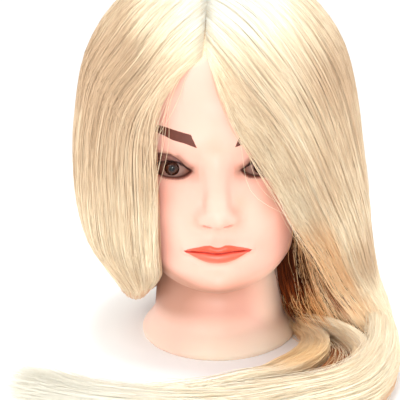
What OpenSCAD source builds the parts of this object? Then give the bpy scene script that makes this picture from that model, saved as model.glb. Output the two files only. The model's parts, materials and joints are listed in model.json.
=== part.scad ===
// Hairdresser's training head: a soft vinyl head on its own neck, with set-in
// eyes, a foam core, a socket for a table clamp, and long rooted hair that is
// swept over the head's left side and round the front of the base.
// +Z is up and the face looks along -Y, so the head's own right is -X.
// The origin is the middle of the clamp socket's mouth, on the base plane.
// Millimetres.

/* [Head] */
// Height of the bare skull above the table
skull_h = 288; // [284:1:292]
// How far the nose stands out from the face
nose_out = 19.5; // [16:0.5:22]
// Thickness of the vinyl skin
skin_t = 3.5; // [3:0.25:4]
// Radius of the round opening in the neck's base
neck_open_r = 54; // [53:0.5:55]

/* [Eyes] */
// Half the distance between the two pupils
eye_x = 33; // [32:0.5:34]
// Height of the pupils above the table
eye_z = 167.5; // [166:0.5:169]
// Radius of the set-in eye's front
eye_r = 19; // [18.9:0.05:19.2]
// Radius of the iris
iris_r = 5.5; // [5:0.1:6]

/* [Base and clamp socket] */
// Thickness of the hard plug that closes the neck
plug_t = 12; // [10:0.5:13]
// Radius of the bore for the clamp's peg
bore_r = 11; // [10:0.25:11.5]
// Depth of the bore for the clamp's peg
bore_l = 75; // [60:1:85]
// Outer radius of the socket tube
socket_r = 15; // [14:0.25:16]
// Radius of the circle that the socket's screws stand on
screw_pcd_r = 19; // [18.5:0.25:19.5]

/* [Hair] */
// Height of the top of the hair above the table
hair_top = 304; // [302:1:308]
// Thickness of the hanging hair
hair_t = 15; // [12:1:18]
// Thickness of the hair that lies on the table, at its thickest
lay_t = 30; // [24:1:34]

/* [Hidden] */
$fn = 96;

vinyl = [0.98, 0.86, 0.79];
blond = [0.92, 0.84, 0.68];
blond_dark = [0.86, 0.76, 0.58];
gap = 0.3;
eye_y = -61.5;
ball_in = 3;
flange_r = 23;
flange_t = 3;

// ---- small helpers ----------------------------------------------------------

// Smooth curve through hand-set rows [position, value, value, ...], column k
function seg(rows, x, i = 0) = i >= len(rows) - 2 || x < rows[i + 1][0] ? i : seg(rows, x, i + 1);
function slope(rows, i, k) =
    i <= 0 ? (rows[1][k] - rows[0][k]) / (rows[1][0] - rows[0][0])
    : i >= len(rows) - 1 ? (rows[i][k] - rows[i - 1][k]) / (rows[i][0] - rows[i - 1][0])
    : let (a = (rows[i][k] - rows[i - 1][k]) / (rows[i][0] - rows[i - 1][0]),
           b = (rows[i + 1][k] - rows[i][k]) / (rows[i + 1][0] - rows[i][0]))
      a * b <= 0 ? 0 : 2 * a * b / (a + b);
function curve(rows, x0, k) =
    let (x = min(max(x0, rows[0][0]), rows[len(rows) - 1][0]), i = seg(rows, x),
         h = rows[i + 1][0] - rows[i][0], t = (x - rows[i][0]) / h,
         m0 = slope(rows, i, k) * h, m1 = slope(rows, i + 1, k) * h)
    (2 * t * t * t - 3 * t * t + 1) * rows[i][k] + (t * t * t - 2 * t * t + t) * m0
    + (3 * t * t - 2 * t * t * t) * rows[i + 1][k] + (t * t * t - t * t) * m1;
function bump(x, z, x0, z0, sx, sz) = exp(-pow((x - x0) / sx, 2) - pow((z - z0) / sz, 2));

// Radius of an egg-shaped level section: a is the angle from the face (-Y)
// towards +X, w the half width, f and b the reach to the front and the back
function egg(a, w, f, b, n) =
    pow(pow(abs(sin(a)) / w, n) + pow(abs(cos(a)) / (cos(a) > 0 ? f : b), n), -1 / n);

// ---- the head ---------------------------------------------------------------

// the jaw line rises from the chin towards the ears
jaw_rows = [[20, 0], [60, 1], [90, 1], [132, 0]];
function jaw_z(a, z) = z - 20 * min(1, 1 - cos(a)) * curve(jaw_rows, z, 1);
// height, half width, reach to the front, reach to the back, exponent
head_rows = [
    [0, 64, 65, 66, 2], [2.5, 64, 65.2, 66.2, 2], [6, 61.6, 63.4, 64.6, 2], [10, 58.6, 60.2, 61.8, 2],
    [18, 54, 53.5, 57.5, 2], [30, 50.8, 46.5, 53.5, 2], [46, 49.3, 42.5, 51, 2], [57, 50.5, 46.5, 50, 2],
    [61, 53.5, 60, 50, 1.85], [65, 59, 78.5, 50.5, 1.72], [70, 63, 85, 51, 1.72],
    [76, 65.5, 88.3, 52, 1.78], [84, 67, 89, 53, 1.9], [96, 68.5, 89, 56, 2.02],
    [112, 69.5, 91.5, 60, 2.12], [130, 71, 92.8, 66, 2.18], [150, 72.5, 91.5, 74, 2.22],
    [168, 73.5, 89.5, 82, 2.22], [190, 75, 92, 88, 2.22], [215, 75.5, 91.5, 91, 2.15],
    [240, 72.5, 86, 89, 2.1], [258, 65, 74, 82, 2.05], [271, 53, 58, 70, 2],
    [280, 37, 40, 52, 2], [285.5, 20, 22, 31, 2], [287.6, 6, 8, 12, 2]];
function head_r(a, z) = let (q = jaw_z(a, z)) egg(a, curve(head_rows, q, 1),
    curve(head_rows, q, 2), curve(head_rows, q, 3), curve(head_rows, q, 4));

// how far the nose stands out, and its half width, by height
nose_rows = [[116, 0, 11], [122, 0.2, 12], [127, 0.62, 11], [131, 0.92, 9.5],
    [135, 1, 8.5], [140, 0.86, 8], [150, 0.5, 7], [160, 0.2, 6.5], [172, 0, 6.5]];
function relief(x, z) =
    nose_out * curve(nose_rows, z, 1) * exp(-pow(x / curve(nose_rows, z, 2), 2))
    + 6 * (bump(x, z, 13, 129, 5, 5) + bump(x, z, -13, 129, 5, 5))
    + 4.6 * bump(x, z, 0, 108.5, 18, 4.5) + 5.2 * bump(x, z, 0, 97.5, 15, 5)
    - 2.2 * bump(x, z, 0, 103.5, 22, 1.8) + 3 * bump(x, z, 0, 76, 15, 9)
    - 3.5 * (bump(x, z, 33, 170, 17, 12) + bump(x, z, -33, 170, 17, 12))
    + 3.2 * (bump(x, z, 33, 178, 17, 4) + bump(x, z, -33, 178, 17, 4))
    + 2 * (bump(x, z, 33, 158, 17, 4) + bump(x, z, -33, 158, 17, 4))
    + 1.8 * (bump(x, z, 28, 190, 20, 8) + bump(x, z, -28, 190, 20, 8))
    + 2.4 * (bump(x, z, 42, 138, 15, 14) + bump(x, z, -42, 138, 15, 14));
function ear(y, z) = 8 * bump(y, z, 12, 150, 10, 22);
function skin_point(a, z) =
    let (r = head_r(a, z), x = r * sin(a), y = -r * cos(a))
    [x + sign(x) * ear(y, z) * min(1, abs(x) / 30), y - (cos(a) > 0 ? relief(x, z) : 0), z];
// the inside of the skin
function inner_r(a, z, more = 0) =
    max(0.5, min(head_r(a, z - skin_t), head_r(a, z), head_r(a, z + skin_t)) - skin_t * 0.6 - more);

head_lift = skull_h - 288;
az = [for (i = [0:63]) let (t = i * 360 / 64) t - 32 * sin(t)];
head_z = concat([0, 3, 8, 14, 21, 30, 40, 50], [for (z = [56:2.5:71]) z],
    [for (z = [74:4:202]) z], [210, 219, 228, 237, 245, 253, 260, 266, 271, 276, 280, 283, 285.5, 287.4]);
core_az = [for (i = [0:27]) i * 360 / 28];
core_z = concat([for (z = [13:9:49]) z], [56, 62, 68, 75, 84, 96], [for (z = [110:16:238]) z],
    [248, 257, 265, 272, 278, 282]);

// Closed skin over a stack of level rings, with flat ends closed by fans
module stack(rings, ends) {
    n = len(rings[0]);
    m = len(rings);
    pts = concat([for (r = rings) for (p = r) p], ends);
    b = m * n;
    polyhedron(points = pts, faces = concat(
        [for (i = [0:m - 2]) for (j = [0:n - 1]) let (k = (j + 1) % n)
            each [[i * n + j, (i + 1) * n + k, i * n + k], [i * n + j, (i + 1) * n + j, (i + 1) * n + k]]],
        [for (j = [0:n - 1]) let (k = (j + 1) % n) [b, j, k]],
        [for (j = [0:n - 1]) let (k = (j + 1) % n) [b + 1, (m - 1) * n + k, (m - 1) * n + j]]));
}

function lifted(p) = [p[0], p[1], p[2] + head_lift * max(0, p[2] - 200) / 88];
module head_solid()
    stack([for (z = head_z) [for (a = az) lifted(skin_point(a, z))]],
        [[0, 0, 0], lifted([0, 0, 288])]);
module head_inside(more, low)
    stack([for (z = core_z) let (q = max(z, low)) [for (a = core_az)
            let (r = inner_r(a, q, more)) lifted([r * sin(a), -r * cos(a), z == core_z[0] ? low : z])]],
        [[0, 0, low], lifted([0, 0, 284.2 - more])]);

// The opening between the lids: two arcs that meet at the corners
module lid_outline(more = 0) intersection() {
    translate([0, -17.5]) circle(r = 23.5 + more);
    translate([0, 15.7]) circle(r = 22.2 + more);
}
module at_eye(s) translate([s * eye_x, 0, eye_z]) children();
// the set-in eye: the front dome of a ball that is nearer the nose than the
// pupil, cut to a disc and flat behind
module eye_dome(s, more = 0) translate([s * (eye_x - ball_in), eye_y, eye_z]) rotate([90, 0, 0])
    rotate_extrude() intersection() {
        circle(r = eye_r + more);
        translate([0, -1.5 - more]) square([18 + more, 40]);
    }
// thick skin round the eye that the foam leaves free
module eye_pocket(s, more = 0) translate([s * (eye_x - ball_in), eye_y + 1.5 + more, eye_z])
    rotate([90, 0, 0]) cylinder(r = 21 + more, h = 40);
module eye_room(s) {
    eye_dome(s, gap);
    at_eye(s) translate([0, -66, 0]) rotate([90, 0, 0]) linear_extrude(height = 30) lid_outline();
}

module head_shell() color(vinyl) difference() {
    head_solid();
    difference() {
        head_inside(0, plug_t + 0.2);
        eye_pocket(-1);
        eye_pocket(1);
    }
    translate([0, 0, -1]) cylinder(r = neck_open_r, h = plug_t + 2);
    eye_room(-1);
    eye_room(1);
}

module foam_core() color("ivory") difference() {
    head_inside(gap, plug_t + 1.4);
    translate([0, 0, plug_t]) cylinder(r = socket_r + gap, h = bore_l + 4 + gap - plug_t);
    eye_pocket(-1, gap);
    eye_pocket(1, gap);
}

// ---- base plug, clamp socket and screws --------------------------------------

module screw_spots() for (i = [0:3]) rotate(45 + 90 * i) translate([screw_pcd_r, 0, 0]) children();

module neck_plug() color([0.9, 0.88, 0.84]) difference() {
    cylinder(r = neck_open_r - 0.2, h = plug_t);
    translate([0, 0, -1]) cylinder(r = flange_r + 0.25, h = flange_t + 1.1);
    translate([0, 0, -1]) cylinder(r = socket_r + 0.25, h = plug_t + 2);
    screw_spots() translate([0, 0, flange_t]) cylinder(r = 1.55, h = 7.5);
}

module clamp_socket() color([0.82, 0.82, 0.8]) difference() {
    union() {
        cylinder(r = flange_r, h = flange_t);
        cylinder(r = socket_r, h = bore_l + 4);
    }
    translate([0, 0, -1]) cylinder(r = bore_r, h = bore_l + 1);
    screw_spots() {
        translate([0, 0, -1]) cylinder(r = 1.7, h = flange_t + 2);
        translate([0, 0, -1]) cylinder(r = 3, h = 2.9);
    }
}

module socket_screws() color("silver") screw_spots() difference() {
    union() {
        translate([0, 0, 0.3]) cylinder(r = 2.8, h = 1.55);
        cylinder(r = 1.5, h = 9.5);
    }
    translate([0, 0, -1]) cylinder(r = 1.55, h = 1.3);
    translate([-0.35, -1.8, -1]) cube([0.7, 3.6, 2.2]);
    translate([-1.8, -0.35, -1]) cube([3.6, 0.7, 2.2]);
}

// ---- eyes and lashes ----------------------------------------------------------

module eye(s) color("white") difference() {
    eye_dome(s);
    at_eye(s) translate([0, -78.3, 0]) rotate([90, 0, 0]) cylinder(r = iris_r + 0.1, h = 5);
}
module iris(s) color([0.3, 0.16, 0.1]) at_eye(s)
    translate([0, -78.4, 0]) rotate([90, 0, 0]) cylinder(r = iris_r, h = 0.7);
module cornea(s) color([0.95, 0.98, 1, 0.4]) at_eye(s) intersection() {
    translate([0, -73.7, 0]) sphere(r = 8.2);
    translate([0, -79.15, 0]) rotate([90, 0, 0]) cylinder(r = iris_r, h = 5);
}
module lashes(s) color([0.25, 0.15, 0.1]) at_eye(s)
    translate([0, -80.9, -17.5]) rotate([90, 0, 0]) rotate(58)
        rotate_extrude(angle = 64) translate([22, 0]) square([1.1, 3.5]);

module eye_right() eye(-1);
module eye_left() eye(1);
module iris_right() iris(-1);
module iris_left() iris(1);
module cornea_right() cornea(-1);
module cornea_left() cornea(1);
module lashes_right() lashes(-1);
module lashes_left() lashes(1);

// ---- hanging hair -------------------------------------------------------------

// height, reach to the head's right (-X), to its left (+X), to the front, to the back
hair_rows = [
    [16, 60, 140, 60, 84], [22, 64, 138, 66, 88], [34, 78, 134, 76, 94], [50, 90, 131, 86, 100],
    [64, 98, 129, 93, 105], [80, 105, 126, 98, 109], [100, 111, 124, 101, 113],
    [120, 114, 122, 103, 116], [145, 115, 119, 104, 118], [170, 114, 116, 104, 119],
    [195, 111, 113, 102, 118], [215, 108, 110.5, 100, 115], [232, 103, 107, 96, 111],
    [247, 97, 100, 91, 105], [262, 88, 91, 80, 96]];
function hair_r(a, z) = egg(a, curve(hair_rows, z, sin(a) < 0 ? 1 : 2),
    curve(hair_rows, z, 3), curve(hair_rows, z, 4), 2.15);
// the hair lies on the scalp above, and hangs clear of the jaw and neck below
function hair_in_r(a, z) =
    let (p = skin_point(a, z), scalp = sqrt(p[0] * p[0] + p[1] * p[1]))
    max(scalp + 1.2, hair_r(a, z) - hair_t * (z > 215 ? 1 + (z - 215) / 18 : 1));

// Closed slab over a grid of outer points and the matching inner points
module slab(outer, inner) {
    m = len(outer);
    n = len(outer[0]);
    c = m * n;
    polyhedron(points = concat([for (r = outer) for (p = r) p], [for (r = inner) for (p = r) p]),
        faces = concat(
        [for (i = [0:m - 2]) for (j = [0:n - 2]) let (p = i * n + j)
            each [[p, p + 1, p + n + 1], [p, p + n + 1, p + n],
                [c + p, c + p + n + 1, c + p + 1], [c + p, c + p + n, c + p + n + 1]]],
        [for (i = [0:m - 2]) let (p = i * n)
            each [[p, p + n, c + p + n], [p, c + p + n, c + p]]],
        [for (i = [0:m - 2]) let (p = i * n + n - 1)
            each [[p, c + p + n, p + n], [p, c + p, c + p + n]]],
        [for (j = [0:n - 2]) each [[j, c + j + 1, j + 1], [j, c + j, c + j + 1]]],
        [for (j = [0:n - 2]) let (p = (m - 1) * n + j)
            each [[p, p + 1, c + p + 1], [p, c + p + 1, c + p]]]));
}

// A lock of hanging hair between two edges; each edge is rows of [height, angle]
module lock(e1, e2, z_low, z_high, n = 8) {
    steps = ceil((z_high - z_low) / 14);
    zs = [for (i = [0:steps]) z_high + (z_low - z_high) * i / steps];
    function ang(z, j) = let (a = curve(e1, z, 1), b = curve(e2, z, 1)) a + (b - a) * j / n;
    slab([for (z = zs) [for (j = [0:n]) let (a = ang(z, j), r = hair_r(a, z)) [r * sin(a), -r * cos(a), z]]],
         [for (z = zs) [for (j = [0:n]) let (a = ang(z, j), r = hair_in_r(a, z)) [r * sin(a), -r * cos(a), z]]]);
}
function straight(a) = [[0, a], [300, a]];

// edge of the curtain beside the face, and of the sweep over the other eye
edge_right = [[50, -42], [64, -34], [80, -28.5], [110, -26.5], [180, -26.5], [205, -25],
    [225, -20], [240, -13], [250, -7], [262, -3.2]];
edge_left = [[60, 58], [80, 52], [100, 45], [121, 37], [143, 30], [174, 19], [191, 11],
    [221, 3.5], [240, 0], [252, -2], [262, -2.8]];

module hair_front_right() color(blond) lock(straight(-74.8), edge_right, 50, 261.5, 10);
module hair_side_right() color(blond_dark) lock(straight(-117.8), straight(-75.2), 22, 261.5);
module hair_back_right() color(blond) lock(straight(-179.8), straight(-118.2), 52, 261.5, 10);
module hair_back_left() color(blond_dark) lock(straight(118.2), straight(179.8), 52, 261.5, 10);
module hair_side_left() color(blond) lock(straight(68.2), straight(117.8), 52, 261.5);
module hair_fringe_left() color(blond_dark) lock(edge_left, straight(67.8), 52, 261.5, 10);

// the cap of hair over the top of the head, above the hanging locks
crown_rows = [[262, 1], [272, 0.915], [283, 0.76], [292, 0.56], [299, 0.34], [303, 0.14]];
scalp_rows = [[0, 262], [0.25, 270.5], [0.5, 278.5], [0.75, 284.5], [1, 288.3]];
module hair_crown() color(blond) {
    lift = hair_top - 304;
    n = 40;
    outer = [for (row = crown_rows) [for (i = [0:n - 1]) let (a = i * 360 / n, r = hair_r(a, 262) * row[1])
        [r * sin(a), -r * cos(a), row[0] + lift * (row[0] - 262) / 42]]];
    inner = [for (z = [285.5, 280, 274, 268, 262]) [for (i = [0:n - 1]) let (a = i * 360 / n,
        r = head_r(a, z - 2) + 1.2) [r * sin(a), -r * cos(a), z]]];
    stack2(concat(inner, outer), [0, 0, 290 + max(0, head_lift)], [0, 0, hair_top]);
}
// a dome with a dome hollow: rings run up the inside, over the rim and up the outside
module stack2(rings, low_end, high_end) {
    n = len(rings[0]);
    m = len(rings);
    b = m * n;
    polyhedron(points = concat([for (r = rings) for (p = r) p], [low_end, high_end]), faces = concat(
        [for (i = [0:m - 2]) for (j = [0:n - 1]) let (k = (j + 1) % n)
            each [[i * n + j, (i + 1) * n + k, i * n + k], [i * n + j, (i + 1) * n + j, (i + 1) * n + k]]],
        [for (j = [0:n - 1]) let (k = (j + 1) % n) [b, j, k]],
        [for (j = [0:n - 1]) let (k = (j + 1) % n) [b + 1, (m - 1) * n + k, (m - 1) * n + j]]));
}

// ---- gathered and lying hair ----------------------------------------------------

// A flattened rope of hair. Each row: [x, y, z, half width, half height, heading];
// the section stands upright across the heading, and never dips below the table.
floor_gap = 0.4;
module rope(rows, steps = 22, sides = 16) {
    n = len(rows);
    idx = [for (i = [0:n - 1]) concat([i], rows[i])];
    rings = [for (s = [0:steps]) let (u = s * (n - 1) / steps,
            c = [for (k = [1:6]) curve(idx, u, k)], h = c[5])
        [for (j = [0:sides - 1]) let (t = 360 * j / sides,
                q = c[3] * sign(cos(t)) * pow(abs(cos(t)), 0.8),
                v = c[4] * sign(sin(t)) * pow(abs(sin(t)), 0.8))
            [c[0] + q * cos(h + 90), c[1] + q * sin(h + 90), max(floor_gap, c[2] + v)]]];
    m = len(rings);
    b = m * sides;
    mid = function (r) [for (k = [0:2]) (r[0][k] + r[sides / 2][k]) / 2 + (k == 2 ? 0.01 : 0)];
    polyhedron(points = concat([for (r = rings) for (p = r) p], [mid(rings[0]), mid(rings[m - 1])]),
        faces = concat(
        [for (i = [0:m - 2]) for (j = [0:sides - 1]) let (k = (j + 1) % sides)
            each [[i * sides + j, i * sides + k, (i + 1) * sides + k],
                [i * sides + j, (i + 1) * sides + k, (i + 1) * sides + j]]],
        [for (j = [0:sides - 1]) let (k = (j + 1) % sides) [b, k, j]],
        [for (j = [0:sides - 1]) let (k = (j + 1) % sides) [b + 1, (m - 1) * sides + j, (m - 1) * sides + k]]));
}

// hair gathered low behind the neck, passing from the right side to the left
module hair_nape_gather() color(blond_dark) rope([
    [-66, 62, 22, 12, 15, -10], [-34, 84, 24, 15, 20, 22], [6, 92, 26, 17, 23, 0],
    [36, 89, 26, 17, 23, -18], [56, 82, 26, 17, 22, -38]], 18, 16);
// the fall at the left side: down from the hanging hair and forward to the table
module hair_fall_left() color(blond) rope([
    [56.9, 81.2, 26, 17, 22, -38], [84, 54, 26.5, 25, 23, -50], [103, 22, 27, 32, 23, -72],
    [109, -18, 25, 36, 23.5, -94], [103, -54, 19, 39, 19, -112], [97.6, -68, 17, 40, 17, -120]], 20, 18);
// the swept hair on the table in front of the base
module hair_table_sweep() color(blond) rope([
    [97, -69, 17, 40, 17, -120], [70, -107, 15.5, 42, lay_t / 2, -143], [28, -132, 12.5, 38, 13.5, -165],
    [-28, -141, 10, 30, 11, -181], [-76, -134, 8, 28, 8.5, -192]], 20, 18);
module hair_tips() color(blond_dark) rope([
    [-77, -133.6, 8, 27.5, 8.2, -192], [-112, -121, 6, 26, 6, -199], [-140, -108, 4, 23, 3.8, -205],
    [-162, -97, 2.4, 17, 2, -208]], 12, 16);

head_shell();
foam_core();
neck_plug();
clamp_socket();
socket_screws();
eye_right();
eye_left();
iris_right();
iris_left();
cornea_right();
cornea_left();
lashes_right();
lashes_left();
hair_crown();
hair_front_right();
hair_side_right();
hair_back_right();
hair_back_left();
hair_side_left();
hair_fringe_left();
hair_nape_gather();
hair_fall_left();
hair_table_sweep();
hair_tips();
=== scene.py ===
import json
import math
import bpy
import numpy as np
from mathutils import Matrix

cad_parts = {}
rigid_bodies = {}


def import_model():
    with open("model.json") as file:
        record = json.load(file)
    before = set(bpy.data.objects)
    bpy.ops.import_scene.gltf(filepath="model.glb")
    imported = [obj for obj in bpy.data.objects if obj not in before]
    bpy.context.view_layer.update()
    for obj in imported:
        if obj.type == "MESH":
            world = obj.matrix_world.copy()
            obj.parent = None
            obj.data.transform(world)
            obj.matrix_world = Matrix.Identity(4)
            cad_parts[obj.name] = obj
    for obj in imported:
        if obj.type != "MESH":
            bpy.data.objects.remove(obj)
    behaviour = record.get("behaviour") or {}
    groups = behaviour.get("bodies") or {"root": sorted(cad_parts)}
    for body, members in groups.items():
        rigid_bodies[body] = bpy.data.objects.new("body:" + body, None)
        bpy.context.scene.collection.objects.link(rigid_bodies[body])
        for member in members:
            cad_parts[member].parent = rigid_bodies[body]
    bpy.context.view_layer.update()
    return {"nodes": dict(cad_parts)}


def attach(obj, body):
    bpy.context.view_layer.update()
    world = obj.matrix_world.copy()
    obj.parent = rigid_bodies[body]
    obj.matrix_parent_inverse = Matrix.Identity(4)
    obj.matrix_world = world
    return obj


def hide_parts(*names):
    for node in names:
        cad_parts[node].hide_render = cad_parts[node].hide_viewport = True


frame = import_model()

MM = 0.001
scene = bpy.context.scene


# ---------------------------------------------------------------------------
# small helpers
# ---------------------------------------------------------------------------
def smooth(e0, e1, v):
    t = np.clip((v - e0) / (e1 - e0), 0.0, 1.0)
    return t * t * (3.0 - 2.0 * t)


def curve(rows, x, k=1):
    """Monotone smooth curve through given rows [position, value, ...]."""
    rows = np.asarray(rows, float)
    X, Y = rows[:, 0], rows[:, k]
    d = np.diff(Y) / np.diff(X)
    m = np.empty_like(Y)
    m[0], m[-1] = d[0], d[-1]
    a, b = d[:-1], d[1:]
    with np.errstate(divide="ignore", invalid="ignore"):
        m[1:-1] = np.where(a * b <= 0, 0.0, 2 * a * b / (a + b))
    x = np.clip(x, X[0], X[-1])
    i = np.clip(np.searchsorted(X, x, side="right") - 1, 0, len(X) - 2)
    h = X[i + 1] - X[i]
    t = (x - X[i]) / h
    t2, t3 = t * t, t * t * t
    return ((2 * t3 - 3 * t2 + 1) * Y[i] + (t3 - 2 * t2 + t) * m[i] * h
            + (3 * t2 - 2 * t3) * Y[i + 1] + (t3 - t2) * m[i + 1] * h)


def quick_curve(rows, lo, hi, k=1, n=800):
    """The same curve as a table, for large arrays."""
    xs = np.linspace(lo, hi, n)
    ys = curve(rows, xs, k)
    return lambda v: np.interp(v, xs, ys)


def bump(x, z, x0, z0, sx, sz):
    return np.exp(-((x - x0) / sx) ** 2 - ((z - z0) / sz) ** 2)


def smin(a, b, k):
    h = np.clip(0.5 + 0.5 * (b - a) / k, 0.0, 1.0)
    return b + (a - b) * h - k * h * (1.0 - h)


def smax(a, b, k):
    return -smin(-a, -b, k)


def capsule(x, y, z, a, b, ra, rb):
    a, b = np.asarray(a, float), np.asarray(b, float)
    d = b - a
    t = np.clip(((x - a[0]) * d[0] + (y - a[1]) * d[1] + (z - a[2]) * d[2]) / (d @ d), 0.0, 1.0)
    return np.sqrt((x - a[0] - t * d[0]) ** 2 + (y - a[1] - t * d[1]) ** 2
                   + (z - a[2] - t * d[2]) ** 2) - (ra + (rb - ra) * t)


def ellipsoid(x, y, z, c, r):
    k0 = np.sqrt(((x - c[0]) / r[0]) ** 2 + ((y - c[1]) / r[1]) ** 2 + ((z - c[2]) / r[2]) ** 2)
    k1 = np.sqrt(((x - c[0]) / r[0] ** 2) ** 2 + ((y - c[1]) / r[1] ** 2) ** 2
                 + ((z - c[2]) / r[2] ** 2) ** 2)
    return k0 * (k0 - 1.0) / np.maximum(k1, 1e-9)


def mesh_object(name, verts_mm, faces, smooth_shade=True):
    """verts in millimetres, faces as an (n, 3) or (n, 4) array or a list of arrays."""
    me = bpy.data.meshes.new(name)
    groups = faces if isinstance(faces, (list, tuple)) else [faces]
    groups = [np.asarray(g, np.int32) for g in groups if len(g)]
    V = np.asarray(verts_mm, np.float64) * MM
    me.vertices.add(len(V))
    me.vertices.foreach_set("co", V.astype(np.float32).ravel())
    n_loops = sum(g.size for g in groups)
    n_polys = sum(len(g) for g in groups)
    me.loops.add(n_loops)
    me.polygons.add(n_polys)
    me.loops.foreach_set("vertex_index", np.concatenate([g.ravel() for g in groups]))
    starts, totals, at = [], [], 0
    for g in groups:
        k = g.shape[1]
        starts.append(at + np.arange(len(g)) * k)
        totals.append(np.full(len(g), k))
        at += g.size
    me.polygons.foreach_set("loop_start", np.concatenate(starts).astype(np.int32))
    me.update(calc_edges=True)
    me.validate(verbose=False)
    if smooth_shade:
        me.polygons.foreach_set("use_smooth", np.ones(len(me.polygons), bool))
    me.update()
    ob = bpy.data.objects.new(name, me)
    scene.collection.objects.link(ob)
    return ob


def put_attr(ob, name, values):
    at = ob.data.attributes.new(name, "FLOAT", "POINT")
    at.data.foreach_set("value", np.asarray(values, np.float32))


# ---------------------------------------------------------------------------
# camera: the view from a little above the face
# ---------------------------------------------------------------------------
def make_camera():
    from mathutils import Matrix, Vector
    pitch, yaw, roll = math.radians(20.5), math.radians(-0.75), math.radians(1.35)
    fwd = Vector((math.sin(yaw) * math.cos(pitch), math.cos(yaw) * math.cos(pitch), -math.sin(pitch)))
    right = fwd.cross(Vector((0, 0, 1))).normalized()
    up = right.cross(fwd)
    r2 = right * math.cos(roll) - up * math.sin(roll)
    u2 = right * math.sin(roll) + up * math.cos(roll)
    cam = bpy.data.cameras.new("view")
    cam.sensor_width = 36.0
    cam.lens = 1386.0 / 400.0 * 36.0
    cam.clip_start, cam.clip_end = 0.05, 200.0
    cam.dof.use_dof = False
    ob = bpy.data.objects.new("view", cam)
    rot = Matrix((r2, u2, -fwd)).transposed().to_4x4()
    rot.translation = Vector((0.0, -1.050, 0.505))
    ob.matrix_world = rot
    scene.collection.objects.link(ob)
    scene.camera = ob


make_camera()
# ---------------------------------------------------------------------------
# the vinyl head: a smooth solid described by distance, meshed on a grid that
# is fine over the face
# ---------------------------------------------------------------------------
# height, half width, reach to the front, reach to the back, exponent
HEAD = [
    [-4, 64, 65, 66, 2], [0, 64, 65, 66, 2], [2.5, 64.0, 65.2, 66.2, 2], [6, 61.6, 63.4, 64.6, 2],
    [10, 58.6, 60.2, 61.8, 2], [18, 54, 53.5, 57.5, 2], [30, 50.8, 46.5, 53.5, 2],
    [46, 49.3, 42.5, 51, 2], [57, 50.5, 46.5, 50, 2],
    [61, 53.5, 60, 50, 1.85], [65, 59, 78.5, 50.5, 1.72], [70, 63, 85, 51, 1.72],
    [76, 65.5, 88.3, 52, 1.78], [84, 67, 89, 53, 1.9], [96, 68.5, 89, 56, 2.02],
    [112, 69.5, 91.5, 60, 2.12], [130, 71, 92.8, 66, 2.18], [150, 72.5, 91.5, 74, 2.22],
    [168, 73.5, 89.5, 82, 2.22], [190, 75, 92, 88, 2.22], [215, 75.5, 91.5, 91, 2.15],
    [240, 72.5, 86, 89, 2.1], [258, 65, 74, 82, 2.05], [271, 53, 58, 70, 2],
    [280, 37, 40, 52, 2], [285.5, 20, 22, 31, 2], [288.2, 2, 2, 4, 2], [291, -30, -30, -30, 2]]
_za = np.linspace(-4, 291, 1181)
_aa = np.radians(np.linspace(0, 180, 181))


def _egg_table():
    w, f, b, n = (curve(HEAD, _za, k) for k in (1, 2, 3, 4))
    sa, ca = np.abs(np.sin(_aa))[:, None], np.cos(_aa)[:, None]
    w1, f1, b1 = np.maximum(w, 0.5), np.maximum(f, 0.5), np.maximum(b, 0.5)
    # front and back blend through the sides so that the slope is even there
    reach = np.where(ca > 0, f1[None, :], b1[None, :])
    r = ((sa / w1[None, :]) ** n[None, :] + (np.abs(ca) / reach) ** n[None, :]) ** (-1.0 / n[None, :])
    return r + np.minimum(w, 0)[None, :]


_egg = _egg_table()
# the jaw line rises from the chin towards the ears
_jaw = quick_curve([[20, 0], [60, 1], [90, 1], [132, 0]], 0, 140)


def egg_r(a, z):
    """Radius of the bare head at angle a (0 at the face, radians) and height z."""
    z = z - 20.0 * np.minimum(1.0, 1.0 - np.cos(a)) * _jaw(z)
    ai = np.clip(np.abs(a) / math.pi * 180.0, 0, 179.999)
    zi = np.clip((z + 4) / 295.0 * 1180.0, 0, 1179.999)
    i, j = ai.astype(np.int32), zi.astype(np.int32)
    u, v = ai - i, zi - j
    return ((1 - u) * ((1 - v) * _egg[i, j] + v * _egg[i, j + 1])
            + u * ((1 - v) * _egg[i + 1, j] + v * _egg[i + 1, j + 1]))


def base_sdf(x, y, z):
    rho = np.hypot(x, y)
    a = np.arctan2(np.abs(x), -y)
    r = egg_r(a, z)
    rz = (egg_r(a, z + 0.8) - egg_r(a, z - 0.8)) / 1.6
    ra = (egg_r(a + 0.03, z) - egg_r(np.abs(a - 0.03), z)) / 0.06 / np.maximum(r, 5.0)
    return (rho - r) / np.sqrt(1.0 + rz * rz + ra * ra)


# --- the mouth: heights by distance from the middle ---
MOUTH_LINE = [[0, 103.8], [5, 104.2], [11, 104.9], [18, 104.7], [23, 103.9], [26, 103.4], [40, 103.2]]
LIP_TOP = [[0, 109.3], [2.5, 109.8], [6, 111.2], [9.5, 110.8], [15, 109.0], [19, 107.6],
           [23, 105.7], [26, 103.8], [40, 103.6]]
LIP_LOW = [[0, 95.3], [6, 95.7], [12, 97.2], [16, 98.9], [20, 100.8], [23.5, 102.4], [26, 103.2], [40, 103.0]]
mouth_line = quick_curve(MOUTH_LINE, 0, 40)
lip_top = quick_curve(LIP_TOP, 0, 40)
lip_low = quick_curve(LIP_LOW, 0, 40)
LIP_PROFILE = [[-2.6, 0], [-1.9, -0.13], [-1.3, 0.12], [-1.0, 0.5], [-0.72, 0.88], [-0.42, 1.0],
               [-0.16, 0.8], [0.0, 0.3], [0.18, 0.72], [0.42, 0.92], [0.72, 0.83], [1.0, 0.6],
               [1.5, 0.33], [2.2, 0.12], [3.2, 0]]
lip_profile = quick_curve(LIP_PROFILE, -2.6, 3.2)
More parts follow.
